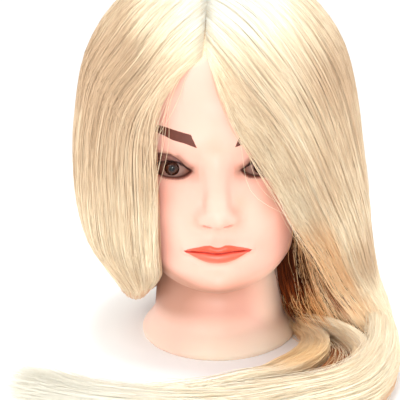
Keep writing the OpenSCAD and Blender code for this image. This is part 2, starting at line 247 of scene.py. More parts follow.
# --- the eyes: heights of the lid edges and the crease by |x| ---
LID_UP = [[18.4, 165.5], [21, 167.6], [24.5, 170.6], [29, 172.9], [34, 173.4], [39, 172.6], [44, 170.3], [48.6, 166.8]]
LID_LOW = [[18.4, 165.5], [21, 163.5], [25.5, 161.8], [31, 160.9], [36, 160.9], [42, 162.2], [46, 164.4], [48.6, 166.8]]
CREASE = [[14, 163.6], [17.5, 165.8], [22.4, 169.6], [26.0, 173.4], [31, 177.0], [35, 178.8], [41, 178.6], [46, 176.0], [52, 170.5]]
lid_up = quick_curve(LID_UP, 18.4, 48.6)
lid_low = quick_curve(LID_LOW, 18.4, 48.6)
crease_z = quick_curve(CREASE, 14, 52)
EYE = (30.0, -61.5, 167.5)   # centre of the set-in eye's ball


def lip_s(u, z):
    """Signed place across the lips: -1 lower edge, 0 mouth line, +1 upper edge."""
    zm, zt, zb = mouth_line(u), lip_top(u), lip_low(u)
    up = np.maximum(zt - zm, 1.6)
    lo = np.maximum(zm - zb, 2.0)
    return np.where(z > zm,
                    np.where(z > zm + up, 1 + (z - zm - up) / 4.0, (z - zm) / up),
                    np.where(z < zm - lo, -1 - (zm - lo - z) / 4.0, (z - zm) / lo))


def relief(x, z):
    u = np.abs(x)
    amp = np.sqrt(np.clip(1 - (u / 28.5) ** 2, 0, 1))
    s = lip_s(u, z)
    lips = 5.2 * amp * lip_profile(np.clip(s, -2.6, 3.2))
    out = lips
    out = out - 0.9 * bump(u, z, 27.0, 103.2, 3.0, 3.0)          # corners of the mouth
    out = out - 0.45 * bump(x, z, 0, 117, 2.8, 6.5) \
        + 0.25 * (bump(u, z, 5.0, 115.5, 2.6, 6.0))              # groove under the nose
    out = out - 1.3 * bump(x, z, 0, 89.5, 16, 3.2)               # fold over the chin
    out = out + 3.0 * bump(x, z, 0, 77, 15, 8.5)                 # chin
    out = out - 3.4 * bump(u, z, 29, 170, 17, 13)                # eye sockets
    out = out - 1.6 * bump(u, z, 15.0, 167, 5.0, 10)
    out = out - 2.6 * bump(u, z, 18.5, 165.5, 4.2, 5.0)           # inner corners of the eyes
    out = out + 1.8 * bump(u, z, 29, 192, 20, 8)                 # brows
    out = out + 2.2 * bump(u, z, 41, 136, 16, 14)                # cheeks
    out = out - 0.8 * bump(u, z, 21, 118, 5, 9)
    out = out + 1.0 * bump(x, z, 0, 222, 40, 22)                 # forehead
    cz = crease_z(u)
    near = smooth(14.5, 19, u) * smooth(52, 46, u)
    out = out - 0.85 * near * np.exp(-((z - cz) / 1.05) ** 2)    # crease over the lid
    out = out + 0.5 * near * np.exp(-((z - cz - 2.4) / 1.8) ** 2)
    return out


def face_extra(d, x, y, z):
    """Nose, nostrils, lids and eye openings, on the points near them."""
    u = np.abs(x)
    # nose
    nose = capsule(x, y, z, (0, -82.5, 174), (0, -96.0, 146), 6.2, 8.2)
    nose = smin(nose, capsule(x, y, z, (0, -96.0, 146), (0, -99.8, 138.2), 8.2, 10.2), 3.0)
    ala = ellipsoid(u, y, z, (9.8, -92.5, 133.4), (6.2, 10.0, 6.6))
    nose = smin(nose, ala, 6.0)
    nose = smin(nose, capsule(x, y, z, (0, -100.5, 132.2), (0, -91.0, 128.2), 3.6, 3.8), 3.6)
    d = smin(d, nose, 8.5)
    nostril = ellipsoid(u + 0.30 * (y + 96.5), y, z + 0.25 * (y + 96.5), (7.2, -96.5, 129.0), (3.3, 5.0, 3.6))
    d = smax(d, -nostril, 1.6)
    # lids over the set-in eyes
    r = np.sqrt((u - EYE[0]) ** 2 + (y - EYE[1]) ** 2 + (z - EYE[2]) ** 2)
    lid = smax(r - 20.5, np.abs(z - 168.5) - 12.5, 6.0)
    d = smin(d, lid, 4.5)
    d = np.maximum(d, 19.15 - r)
    zu, zl = lid_up(u), lid_low(u)
    opening = np.maximum(np.maximum(z - zu, zl - z), np.maximum(18.4 - u, u - 48.6))
    opening = np.maximum(opening, y + 60.0)
    d = smax(d, -opening, 0.9)
    return d


def ear_extra(d, x, y, z):
    u = np.abs(x)
    # a simple upright ear, leaning back
    yy = y - 0.25 * (z - 152)
    ear = ellipsoid(u, yy, z, (74.5, 12.0, 152.0), (6.0, 15.5, 29.0))
    ear = smin(ear, ellipsoid(u, yy, z, (73.0, 8.0, 130.0), (5.0, 8.0, 9.0)), 4.0)
    bowl = ellipsoid(u, yy, z, (80.5, 9.0, 150.0), (6.2, 8.0, 14.0))
    ear = smax(ear, -bowl, 2.5)
    scoop = ellipsoid(u, yy, z, (81.0, 14.0, 164.0), (4.2, 8.0, 12.0))
    ear = smax(ear, -scoop, 2.0)
    return smin(d, ear, 4.0)


def head_sdf(x, y, z):
    front = smooth(20, 48, -y)
    rel = relief(x, z) * front
    d = base_sdf(x, y + rel, z)
    m = (y < -58) & (np.abs(x) < 56) & (z > 112) & (z < 190)
    if m.any():
        d[m] = face_extra(d[m], x[m], y[m], z[m])
    m = (np.abs(x) > 58) & (y > -20) & (y < 50) & (z > 112) & (z < 192)
    if m.any():
        d[m] = ear_extra(d[m], x[m], y[m], z[m])
    rho = np.hypot(x, y)
    d = smax(d, -z, 0.5)
    d = np.maximum(d, -np.maximum(rho - 53.95, z - 12.25))
    return d


def steps(parts):
    out = [parts[0][0]]
    for lo, hi, h in parts:
        n = max(1, int(round((hi - lo) / h)))
        out.extend((lo + (hi - lo) * (np.arange(n) + 1) / n).tolist())
    return np.array(out)


def surface_nets(xs, ys, zs, F):
    S = F < 0
    nx, ny, nz = F.shape
    cnt = np.zeros((nx - 1, ny - 1, nz - 1), np.int8)
    for i in (0, 1):
        for j in (0, 1):
            for k in (0, 1):
                cnt += S[i:nx - 1 + i, j:ny - 1 + j, k:nz - 1 + k]
    act = (cnt > 0) & (cnt < 8)
    I, J, K = np.nonzero(act)
    idx = np.full(act.shape, -1, np.int64)
    idx[I, J, K] = np.arange(len(I))
    P = np.zeros((len(I), 3))
    W = np.zeros(len(I))
    corners = [(i, j, k) for i in (0, 1) for j in (0, 1) for k in (0, 1)]
    for a in corners:
        for ax in range(3):
            if a[ax]:
                continue
            b = list(a)
            b[ax] = 1
            fa = F[I + a[0], J + a[1], K + a[2]]
            fb = F[I + b[0], J + b[1], K + b[2]]
            c = (fa < 0) != (fb < 0)
            t = np.where(c, fa / np.where(c, fa - fb, 1.0), 0.0)
            pa = np.stack([xs[I + a[0]], ys[J + a[1]], zs[K + a[2]]], 1)
            pb = np.stack([xs[I + b[0]], ys[J + b[1]], zs[K + b[2]]], 1)
            P += np.where(c[:, None], pa + (pb - pa) * t[:, None], 0.0)
            W += c
    P /= W[:, None]
    quads = []
    # edges along x
    c = S[:-1, 1:-1, 1:-1] != S[1:, 1:-1, 1:-1]
    i, j, k = np.nonzero(c)
    j1, k1 = j + 1, k + 1
    q = np.stack([idx[i, j1 - 1, k1 - 1], idx[i, j1, k1 - 1], idx[i, j1, k1], idx[i, j1 - 1, k1]], 1)
    flip = ~S[i, j1, k1]
    q[flip] = q[flip][:, ::-1]
    quads.append(q)
    # along y
    c = S[1:-1, :-1, 1:-1] != S[1:-1, 1:, 1:-1]
    i, j, k = np.nonzero(c)
    i1, k1 = i + 1, k + 1
    q = np.stack([idx[i1 - 1, j, k1 - 1], idx[i1 - 1, j, k1], idx[i1, j, k1], idx[i1, j, k1 - 1]], 1)
    flip = ~S[i1, j, k1]
    q[flip] = q[flip][:, ::-1]
    quads.append(q)
    # along z
    c = S[1:-1, 1:-1, :-1] != S[1:-1, 1:-1, 1:]
    i, j, k = np.nonzero(c)
    i1, j1 = i + 1, j + 1
    q = np.stack([idx[i1 - 1, j1 - 1, k], idx[i1, j1 - 1, k], idx[i1, j1, k], idx[i1 - 1, j1, k]], 1)
    flip = ~S[i1, j1, k]
    q[flip] = q[flip][:, ::-1]
    quads.append(q)
    return P, np.concatenate(quads)


def build_head():
    xs = steps([(-86, -66, 3.2), (-66, -54, 1.8), (-54, 54, 0.98), (54, 66, 1.8), (66, 86, 3.2)])
    ys = steps([(-116, -74, 1.05), (-74, -50, 1.6), (-50, -34, 2.6), (-34, 104, 4.0)])
    zs = steps([(-2.4, 4, 0.8), (4, 16, 1.5), (16, 92, 2.4), (92, 118, 0.9), (118, 154, 1.35), (154, 204, 0.9),
                (204, 292, 3.0)])
    F = np.empty((len(xs), len(ys), len(zs)), np.float32)
    Y, Z = np.meshgrid(ys, zs, indexing="ij")
    for i, xv in enumerate(xs):
        X = np.full(Y.size, xv)
        F[i] = head_sdf(X, Y.ravel(), Z.ravel()).reshape(Y.shape)
    P, Q = surface_nets(xs, ys, zs, F)
    for _ in range(3):
        x, y, z = P[:, 0].copy(), P[:, 1].copy(), P[:, 2].copy()
        f = head_sdf(x, y, z)
        e = 0.12
        g = np.stack([head_sdf(x + e, y, z) - head_sdf(x - e, y, z),
                      head_sdf(x, y + e, z) - head_sdf(x, y - e, z),
                      head_sdf(x, y, z + e) - head_sdf(x, y, z - e)], 1) / (2 * e)
        gg = np.maximum((g ** 2).sum(1), 0.15)
        step = (f / gg)[:, None] * g
        L = np.linalg.norm(step, axis=1)
        step *= np.minimum(1.0, 0.7 / np.maximum(L, 1e-9))[:, None]
        P = P - step
    return P, Q


head_P, head_Q = build_head()
head = mesh_object("vinyl_head", head_P, head_Q)
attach(head, "root")
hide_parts("head_shell")


# ---------------------------------------------------------------------------
# paint fields on the face: signed distances in millimetres, cut sharp in the
# material, so an edge is crisper than the mesh
# ---------------------------------------------------------------------------
def polygon_distance(px, pz, pts):
    """Signed distance to a closed outline, positive inside."""
    pts = np.asarray(pts, float)
    d = np.full(px.shape, 1e9)
    inside = np.zeros(px.shape, bool)
    n = len(pts)
    for i in range(n):
        a, b = pts[i], pts[(i + 1) % n]
        e = b - a
        t = np.clip(((px - a[0]) * e[0] + (pz - a[1]) * e[1]) / (e @ e), 0, 1)
        d = np.minimum(d, np.hypot(px - a[0] - t * e[0], pz - a[1] - t * e[1]))
        c = (a[1] > pz) != (b[1] > pz)
        with np.errstate(divide="ignore", invalid="ignore"):
            xi = a[0] + (pz - a[1]) * e[0] / e[1]
        inside ^= c & (px < xi)
    return np.where(inside, d, -d)


BROW = [[13.6, 186.6], [18.0, 197.2], [26.1, 199.0], [35.5, 200.9], [41.9, 201.6], [48, 201.4],
        [54, 199.6], [60, 195.6], [65, 190.2], [58.5, 193.2], [52, 195.4], [46.5, 196.0],
        [41.9, 195.5], [37.9, 194.5], [32.1, 192.2], [22.6, 190.2]]


def paint_head():
    x, y, z = head_P.T
    u = np.abs(x)
    front = (y < -40) & (z > 80) & (z < 215)
    far = -9.0
    lip = np.full(len(x), far)
    m = front & (u < 34) & (z > 88) & (z < 118)
    lip[m] = np.minimum(np.minimum(z[m] - lip_low(u[m]), lip_top(u[m]) - z[m]) * 0.93, 26.0 - u[m])
    put_attr(head, "lip", np.clip(lip, far, 9))
    line = np.full(len(x), 9.0)
    line[m] = z[m] - mouth_line(u[m])
    line = np.where(u > 26.2, 9.0, line)
    put_attr(head, "mouth", np.clip(line, -9, 9))
    brow = np.full(len(x), far)
    m = front & (z > 178) & (z < 210) & (u > 6)
    brow[m] = polygon_distance(u[m], z[m], BROW)
    put_attr(head, "brow", np.clip(brow, far, 9))
    m = front & (z > 150) & (z < 192) & (u > 13) & (u < 54)
    up = np.full(len(x), 9.0)
    lo = np.full(len(x), 9.0)
    cr = np.full(len(x), 9.0)
    sh = np.zeros(len(x))
    uu, zz = u[m], z[m]
    ends = np.maximum(np.maximum(19.5 - uu, uu - 48.6), 0.0)
    up[m] = np.hypot(zz - lid_up(uu) - 0.3, ends * 0.8)
    lo[m] = np.hypot(zz - lid_low(uu) + 0.2, ends * 0.8)
    cr[m] = np.hypot(zz - crease_z(uu), np.maximum(np.maximum(19.0 - uu, uu - 46), 0.0) * 0.6)
    inside = (zz < lid_up(uu) + 0.2) & (zz > lid_low(uu) - 0.2) & (uu > 18.6) & (uu < 48.4)
    up[m] = np.where(inside, 0.0, up[m])
    mid = 0.5 * (lid_up(uu) + crease_z(uu))
    span = np.clip((zz - lid_up(uu)) / np.maximum(crease_z(uu) - lid_up(uu), 0.8), -0.5, 2.0)
    lid = smooth(-0.1, 0.12, span) * smooth(1.12, 0.80, span) * smooth(16.5, 23, uu) * smooth(55, 47, uu)
    # the painted lid, with painted shade in the inner and outer corners of the eye
    sh[m] = 0.96 * lid \
        + 0.45 * np.exp(-((uu - 18.6) / 2.6) ** 2 - ((zz - 165.8) / 2.8) ** 2) \
        + 0.55 * np.exp(-((uu - 49.5) / 4.5) ** 2 - ((zz - 168.5) / 5.0) ** 2)
    # the inner half of the painted lid runs up from the corner
    along = np.clip(((uu - 18.5) * 9.5 + (zz - 169.0) * 9.0) / 171.25, 0, 1)
    away = np.hypot(uu - 18.5 - 9.5 * along, zz - 169.0 - 9.0 * along)
    sh[m] += 0.55 * np.exp(-(away / 2.0) ** 2)
    # soft brown round the eyes: painted make-up along the inner half of the lid, and painted shade in the inner corner,
    # in the crease and under the lower lid
    soft = np.zeros(len(x))
    soft[m] = 0.5 * np.exp(-(away / 4.0) ** 2) + 0.9 * np.exp(-((zz - crease_z(uu) - 0.8) / 2.6) ** 2) * smooth(14, 24, uu) * smooth(56, 46, uu) \
        + 0.65 * np.exp(-((zz - lid_low(uu) + 1.6) / 2.4) ** 2) * smooth(16, 24, uu) * smooth(54, 44, uu) \
        + 0.75 * np.exp(-((uu - 16.0) / 5.0) ** 2 - ((zz - 166.0) / 5.0) ** 2)
    # painted shadow of the left hair on the cheek below the left eye, and painted shade under the nose
    soft += (0.95 * bump(x, z, 40, 142, 9, 14) + 0.42 * bump(x, z, 1, 113.8, 11, 3.5)) * smooth(-20, -50, y)
    put_attr(head, "eye_paint_and_shade", np.clip(soft, 0, 1))
    put_attr(head, "lid_up", np.clip(up, 0, 9))
    put_attr(head, "lid_low", np.clip(lo, 0, 9))
    put_attr(head, "crease", np.clip(cr, 0, 9))
    put_attr(head, "eye_shade", np.clip(sh, 0, 1))
    f = smooth(-20, -60, y)
    # cheek blush is the head's make-up; its larger share on the +x cheek and the spot on the nose's +x side are painted
    # shade; also pink tints on the forehead, between the brows and at the chin
    blush_and_shade = (0.46 + 0.26 * smooth(-30, 30, x)) * bump(u, z, 56, 138, 15, 24) * f + 0.18 * bump(u, z, 34, 150, 16, 14) * f \
        + 0.25 * bump(u, z, 16, 131, 8, 9) * f + 0.35 * bump(x, z, 0, 84, 26, 12) * f + 0.38 * bump(x, z, -2, 194, 20, 34) * f + 0.40 * bump(x, z, 0, 190, 8, 10) * f \
        + 0.70 * bump(x, z, 17, 143, 6, 8) * f
    put_attr(head, "blush_and_shade", np.clip(blush_and_shade, 0, 1))
    # painted shade on the neck under the chin, stronger on the -x side and almost none on the +x side
    neck = (0.66 * smooth(12, 34, z) + 0.34 * smooth(36, 58, z)) * smooth(86, 66, z - 0.22 * (y + 90))
    neck = neck * (1 - 0.9 * smooth(0, 42, x)) * (1 + 0.7 * smooth(-10, -40, x))
    put_attr(head, "neck", np.clip(neck, 0, 1))
    # painted light: paler skin round the foot of the neck (less on the -x side) and on the neck's +x side
    put_attr(head, "rim", np.maximum(smooth(34, 4, z) * (1 - 0.45 * smooth(-5, -40, x)), 0.75 * smooth(18, 46, x) * smooth(84, 68, z)))
    # where the hair is rooted: above the hairline
    a = np.degrees(np.arctan2(u, -y))
    edge = np.interp(a, [0, 4, 12, 22, 30, 45, 62, 75, 90, 110, 130, 180],
                     [252, 250, 244, 230, 222, 205, 186, 168, 178, 150, 100, 80])
    put_attr(head, "scalp", np.clip(z - edge, -9, 9))


paint_head()


# ---------------------------------------------------------------------------
# lashes: separate tapered hairs set in the lid edge
# ---------------------------------------------------------------------------
def lid_front(u, z):
    """Where the skin's surface is, coming from the front, at (u, z)."""
    ys = np.arange(-95.0, -60.0, 0.25)
    U, Y = np.meshgrid(u, ys, indexing="ij")
    Z = np.broadcast_to(z[:, None], U.shape)
    F = head_sdf(U.ravel().copy(), Y.ravel().copy(), Z.ravel().copy()).reshape(U.shape)
    hit = F < 0
    return ys[np.argmax(hit, axis=1)]
# ---------------------------------------------------------------------------
# hair: guide paths from root to tip, then strands and an under-mass along them
# azimuth 0 is the face, + is the head's left (+X); millimetres
# ---------------------------------------------------------------------------
HAIR = [[16, 60, 140, 60, 84], [22, 64, 138, 66, 88], [34, 78, 134, 76, 94], [50, 90, 131, 86, 100],
        [64, 98, 129, 93, 105], [80, 105, 126, 98, 109], [100, 111, 124, 101, 113],
        [120, 114, 122, 103, 116], [145, 115, 119, 104, 118], [170, 114, 116, 104, 119],
        [190, 111.5, 113.5, 103.5, 118.5]]


def hair_R(az, z):
    """Reach of the combed hair at azimuth az (degrees) and height z."""
    az, z = np.broadcast_arrays(np.asarray(az, float), np.asarray(z, float))
    a = np.radians(az)
    zl = np.minimum(z, 190.0)
    L, Rr, F, B = (curve(HAIR, zl, k) for k in (1, 2, 3, 4))
    s, c = np.sin(a), np.cos(a)
    side = np.where(s < 0, L, Rr)
    fb = np.where(c > 0, F, B)
    r = ((np.abs(s) / side) ** 2.15 + (np.abs(c) / fb) ** 2.15) ** (-1 / 2.15)
    t = np.clip((z - 190.0) / 114.0, 0, 1)
    return r * np.clip(1 - t ** 1.9, 0, 1) ** (1 / 2.3)


def dome_z(x, y):
    R = hair_R(np.degrees(np.arctan2(x, -y)), 190.0)
    return 190 + 114 * np.clip(1 - (np.hypot(x, y) / R) ** 2.3, 0, 1) ** (1 / 1.9)


def polar(az, z, r):
    a = np.radians(az)
    return np.stack([r * np.sin(a), -r * np.cos(a), np.broadcast_to(z, np.shape(r))], -1)


def skin_r(az, z):
    return egg_r(np.radians(np.abs(az)), np.asarray(z, float))


def dense_path(ctrl, n, sigma):
    """Even, smooth path through given points; extra columns ride along."""
    C = np.asarray(ctrl, float)
    d = np.r_[0, np.cumsum(np.linalg.norm(np.diff(C[:, :3], axis=0), axis=1))]
    m = 420
    s = np.linspace(0, d[-1], m)
    P = np.stack([np.interp(s, d, C[:, k]) for k in range(C.shape[1])], 1)
    w = sigma / (d[-1] / (m - 1))
    h = int(3 * w) + 1
    k = np.exp(-0.5 * (np.arange(-h, h + 1) / w) ** 2)
    k /= k.sum()
    pad = np.concatenate([2 * P[0] - P[h:0:-1], P, 2 * P[-1] - P[-2:-h - 2:-1]])
    P = np.stack([np.convolve(pad[:, j], k, mode="valid") for j in range(P.shape[1])], 1)
    d = np.r_[0, np.cumsum(np.linalg.norm(np.diff(P[:, :3], axis=0), axis=1))]
    s = np.linspace(0, d[-1], n)
    return np.stack([np.interp(s, d, P[:, k]) for k in range(P.shape[1])], 1), d[-1]


# table stations, inner edge to outer edge, and the height in the middle
STATIONS = [[57, -37, 133, -92, 33], [34, -83, 120, -140, 31], [10, -113, 72, -160, 27],
            [-20, -128, 22, -164, 23], [-53, -135, -40, -164, 19], [-91, -119, -98, -152, 14],
            [-125, -92, -134, -134, 8.5], [-168, -62, -170, -112, 3.6]]


def station(k, s):
    ix, iy, ox, oy, h = STATIONS[k]
    top = h * (0.30 + 0.70 * np.clip(4 * s * (1 - s), 0, 1) ** 0.5)
    return [ix + (ox - ix) * s, iy + (oy - iy) * s, top, max(2.0, 0.88 * top)]


APEX = (-7.0, -81.0, 251.0)
CROWN = (0.0, 45.0)


def root_at(p):
    y = APEX[1] + (CROWN[1] - APEX[1]) * p
    x = APEX[0] * (1 - p)
    return x, y


def dome_part(x0, y0, az, n=12, lift=0.15):
    r1 = hair_R(az, 190.0)
    x1, y1 = r1 * math.sin(math.radians(az)), -r1 * math.cos(math.radians(az))
    t = np.linspace(0, 1, n) ** 0.75
    x, y = x0 + (x1 - x0) * t, y0 + (y1 - y0) * t
    z = dome_z(x, y)
    dep = lift * np.exp(-t * 9.0)
    L = np.sqrt(x * x + y * y + (z - 150) ** 2)
    k = 1 - dep / L
    return np.stack([x * k, y * k, 150 + (z - 150) * k, 3.0 + 5.0 * np.minimum(1, t * 2.5)], 1)


# ---- the right side and the right half of the back: straight down, then
# ---- turned in under and drawn behind the neck
EDGE_R = [[45, -52], [57, -43], [73, -35], [87, -31.2], [102, -29.4], [120, -27.7], [145, -26.5], [180, -26.5],
          [205, -27], [218, -26], [227, -23.5], [236, -19.5], [244, -14], [250, -8], [255, -4.6], [262, -4.0]]
OFF_R = [[40, 14], [180, 15], [200, 12], [220, 9], [235, 5.5], [245, 2.6], [252, 1.0]]
TAIL_R = {   # by azimuth at the temple height
    26.5: [[-46, -65, 74, 7], [-51, -56, 64, 5], [-56, -44, 55, 4], [-60, -28, 47, 4], [-62, -8, 40, 4],
           [-63, 14, 33, 4], [-59, 37, 24, 5], [-49, 58, 24, 7], [-30, 77, 25, 9], [-3, 88, 27, 11], [26, 87, 29, 12]],
    50: [[-73, -57, 72, 8], [-69, -49, 59, 6], [-66, -38, 48, 5], [-66, -20, 38, 5], [-67, 0, 31, 5],
         [-66, 24, 26, 6], [-59, 47, 20, 7], [-45, 68, 24, 9], [-21, 84, 27, 10], [8, 90, 29, 12], [34, 86, 30, 12]],
    90: [[-98, 0, 68, 8], [-91, 3, 52, 7], [-82, 9, 38, 6], [-75, 22, 28, 6], [-69, 38, 23, 7],
         [-60, 55, 20, 8], [-43, 75, 24, 9], [-17, 89, 28, 10], [11, 92, 30, 12], [38, 86, 31, 12]],
    118: [[-88, 45, 66, 8], [-81, 50, 50, 7], [-72, 57, 38, 7], [-61, 67, 31, 7], [-45, 80, 28, 8],
          [-21, 92, 30, 10], [8, 95, 32, 11], [34, 89, 32, 12], [54, 74, 33, 12]],
    150: [[-51, 89, 66, 8], [-46, 92, 53, 8], [-36, 96, 42, 8], [-20, 98, 36, 8], [4, 99, 35, 9],
          [30, 93, 35, 11], [52, 79, 35, 12], [66, 58, 34, 12], [72, 34, 33, 12]],
    180: [[2, 105, 66, 8], [6, 105, 56, 8], [14, 104, 47, 8], [28, 100, 41, 9], [47, 91, 38, 10],
          [64, 75, 37, 11], [75, 53, 36, 12], [79, 28, 35, 12], [80, 4, 33, 12]],
}
# ---- the left side: combed over the eye, gathered towards the shoulder, down
# ---- to the table and round the front of the base
EDGE_L = [[45, 62], [62, 58], [82, 53], [99, 47], [112, 41], [121, 38], [130, 35], [143, 30], [158, 25],
          [174, 19], [191, 12], [206, 7.5], [221, 3.5], [238, 0.2], [247, -2.4], [254, -4.2], [262, -4.4]]
REACH_L = [[45, 111], [62, 103.5], [82, 101], [99, 98.5], [112, 95.5], [121, 95], [130, 97]]
OFF_L = [[130, 12.5], [140, 12], [160, 11], [180, 10], [200, 9], [220, 8], [235, 5.5], [245, 3.0], [252, 1.0]]
TAIL_L = {
    11: [[109, -58, 32, 10], [119, -74, 22, 12], [125, -99, 18, 12], [127, -129, 15, 12], [116, -154, 14, 11],
         [96, -166, 12, 11], 1.0],
    40: [[130, -40, 38, 13], [136, -64, 31, 14], [137, -90, 27, 15], [133, -118, 24, 15], [121, -143, 23, 15],
         [101, -161, 20, 14], 0.98],
    70: [[134, -18, 37, 14], [136, -46, 34, 16], [135, -77, 31, 17], [130, -107, 29, 17], [118, -136, 27, 17],
         [98, -157, 25, 16], 0.95],
    95: [[131, 22, 40, 14], [132, -8, 36, 16], [132, -40, 35, 17], [130, -71, 34, 17], [126, -102, 32, 17],
         [115, -131, 30, 17], [96, -153, 27, 16], 0.92],
    118: [[122, 48, 42, 14], [126, 20, 38, 15], [127, -12, 37, 16], [128, -43, 36, 16], [127, -74, 35, 16],
          [123, -103, 33, 16], [111, -130, 30, 16], [92, -150, 28, 16], 0.88],
    150: [[64, 98, 56, 10], [80, 91, 48, 12], [98, 74, 42, 13], [112, 48, 38, 14], [118, 18, 36, 15],
          [122, -14, 36, 15], [124, -46, 36, 15], [124, -76, 35, 15], [119, -104, 33, 15], [107, -128, 31, 15],
          [88, -146, 28, 15], 0.82],
    180: [[6, 107, 58, 10], [20, 105, 51, 11], [42, 98, 45, 12], [68, 84, 41, 12], [92, 62, 38, 12],
          [107, 34, 36, 13], [114, 4, 35, 13], [119, -26, 35, 13], [121, -56, 35, 14], [120, -84, 34, 14],
          [115, -109, 32, 14], [103, -130, 30, 14], [84, -143, 28, 15], 0.76],
}
# ---- the bundle drawn behind the neck: an inner lock that turns back close to
# ---- the base, and an outer lock that passes round the far side of a hollow
GATHER_I = {
    0.0: [[-52, 68, 22, 8], [-30, 80, 23, 9], [2, 84, 24, 10], [32, 80, 24, 10], [54, 63, 22, 9],
          [64, 38, 18, 8], [65, 12, 12, 6], [62, -8, 9, 5], [61, -20, 8, 5], [65, -32, 10, 6], [69, -46, 12, 7],
          [66, -60, 13, 8], [57, -74, 13, 8], [40, -92, 13, 8], 0.0],
    1.0: [[-56, 74, 28, 10], [-32, 87, 29, 11], [4, 91, 30, 12], [36, 85, 30, 12], [60, 66, 27, 11],
          [70, 40, 24, 10], [71, 12, 20, 9], [67, -12, 16, 8], [66, -30, 16, 8], [77, -44, 20, 9], [86, -59, 22, 10],
          [88, -76, 22, 10], [81, -94, 21, 11], [63, -112, 20, 12], [41, -127, 21, 13], 0.40],
}
GATHER_O = {
    0.0: [[-56, 72, 26, 9], [-32, 85, 27, 10], [4, 89, 28, 11], [38, 83, 28, 11], [60, 64, 26, 10],
          [71, 38, 22, 9], [70, 12, 18, 8], [64, -10, 14, 7], [63, -25, 14, 7], [75, -38, 18, 8], [88, -49, 20, 9],
          [99, -60, 20, 9], [106, -76, 19, 9], [105, -95, 18, 10], [98, -117, 19, 11], [84, -138, 20, 12], 0.66],
    1.0: [[-60, 78, 32, 12], [-34, 93, 34, 13], [6, 97, 35, 14], [40, 90, 36, 14], [64, 71, 35, 13],
          [76, 44, 32, 12], [74, 16, 28, 11], [64, -8, 23, 10], [61, -23, 22, 9], [77, -39, 28, 11], [94, -56, 32, 13],
          [109, -78, 32, 14], [117, -103, 30, 14], [117, -130, 28, 15], [108, -153, 26, 15], [90, -166, 24, 15], 0.98],
}
# ---- the under-side of the left hair, seen past the jaw
INNER = {
    0.0: [[45, -8, 128, 2], [45, -3, 104, 3], [45, 3, 78, 3], [47, 7, 52, 4], [52, 4, 32, 4], [58, -6, 20, 4],
          [63, -18, 13, 4], [67, -32, 11, 5]],
    0.35: [[60, -50, 126, 3], [60, -42, 104, 4], [60, -32, 80, 5], [62, -24, 56, 6], [66, -23, 36, 6],
           [72, -30, 26, 7], [81, -42, 22, 8], [89, -58, 20, 8]],
    0.7: [[72, -58, 122, 4], [76, -52, 104, 5], [82, -44, 82, 6], [88, -38, 60, 7], [96, -38, 44, 8],
          [106, -48, 34, 8], [113, -66, 28, 9], [116, -90, 25, 9]],
    1.0: [[84, -52, 124, 5], [92, -46, 104, 6], [102, -38, 82, 7], [112, -34, 60, 8], [120, -38, 46, 9],
          [127, -52, 36, 9], [130, -74, 30, 10], [129, -100, 26, 10]],
}


def blend_tables(table, x):
    """Interpolate the given point lists (resampled to one length) at x."""
    keys = sorted(table)
    x = min(max(x, keys[0]), keys[-1])
    out = []
    for k in keys:
        pts = [p for p in table[k] if isinstance(p, list)]
        out.append(pts)
    m = 24
    R = []
    for pts in out:
        C = np.asarray(pts, float)
        d = np.r_[0, np.cumsum(np.linalg.norm(np.diff(C[:, :3], axis=0), axis=1))]
        s = np.linspace(0, d[-1], m)
        R.append(np.stack([np.interp(s, d, C[:, j]) for j in range(4)], 1))
    R = np.array(R)
    K = np.asarray(keys, float)
    res = np.empty((m, 4))
    for i in range(m):
        for j in range(4):
            rows = np.stack([K, R[:, i, j]], 1)
            res[i, j] = curve(rows, x)
    return res


def last_value(table, x):
    keys = sorted(table)
    return float(np.interp(x, keys, [table[k][-1] for k in keys]))


def sweep_part(s, first=0, end=None):
    """Along the table; s can drift to end while the lock spreads out again."""
    end = s if end is None else end
    return np.array([station(k, s + (end - s) * float(smooth(0, 3.5, k - first + 0.5)))
                     for k in range(first, len(STATIONS))])


def comb_dome(x0, y0, az, k, edge, lean):
    """Over the dome to azimuth az, leaning along with the front edge by k."""
    top = dome_part(x0, y0, az - lean * k)
    x, y, z = top[:, 0], top[:, 1], top[:, 2]
    a = np.degrees(np.arctan2(x, -y))
    turn = k * (curve(edge, np.minimum(z, 252.0)) - curve(edge, np.array([252.0]))[0])
    a2 = a + turn * smooth(262, 235, z)
    rho = np.hypot(x, y) * hair_R(a2, 190.0) / hair_R(a, 190.0)
    ar = np.radians(a2)
    return np.stack([rho * np.sin(ar), -rho * np.cos(ar), z, top[:, 3]], 1)


def guide_R(beta):
    """beta: azimuth to the right at temple height, 26.5 to 180."""
    k = max(0.0, (118 - beta) / 91.5)
    p = (1 - k) ** 0.9
    if beta <= 118:
        x0, y0 = root_at(p)
        x0 += 1.1
    else:
        f = (beta - 118) / 62
        x0, y0 = CROWN[0] + 1.1 - 5 * math.sin(math.radians(beta)) * f, CROWN[1] + 5 * f
    edge = [[z, a] for z, a in EDGE_R]
    dome = comb_dome(x0, y0, -beta, k, edge, -23.0)
    w = float(1 - smooth(0, 1, (beta - 26.5) / 34.0))
    ze = 190 + (252 - 190) * (1 - (np.arange(12) / 11.0) ** 1.15)
    ae = curve(EDGE_R, ze)
    ae = ae - (beta - 26.5) * (252 - ze) / 62.0
    re = np.minimum(hair_R(ae, ze), skin_r(ae, ze) + curve(OFF_R, ze))
    front = np.concatenate([polar(ae, ze, re), np.linspace(2.5, 7, 12)[:, None]], 1)
    top = dome * (1 - w) + front * w
    z = np.array([175, 160, 145, 130, 115, 100, 88.0, 78.0])
    a = -beta + (curve(EDGE_R, z) + 26.5) * k
    r = hair_R(a, z)
    r = r + (np.minimum(r, skin_r(a, z) + curve(OFF_R, z)) - r) * w
    side = np.concatenate([polar(a, z, r), np.full((len(z), 1), 8.0)], 1)
    tail = blend_tables(TAIL_R, beta)
    return np.concatenate([top, side, tail])


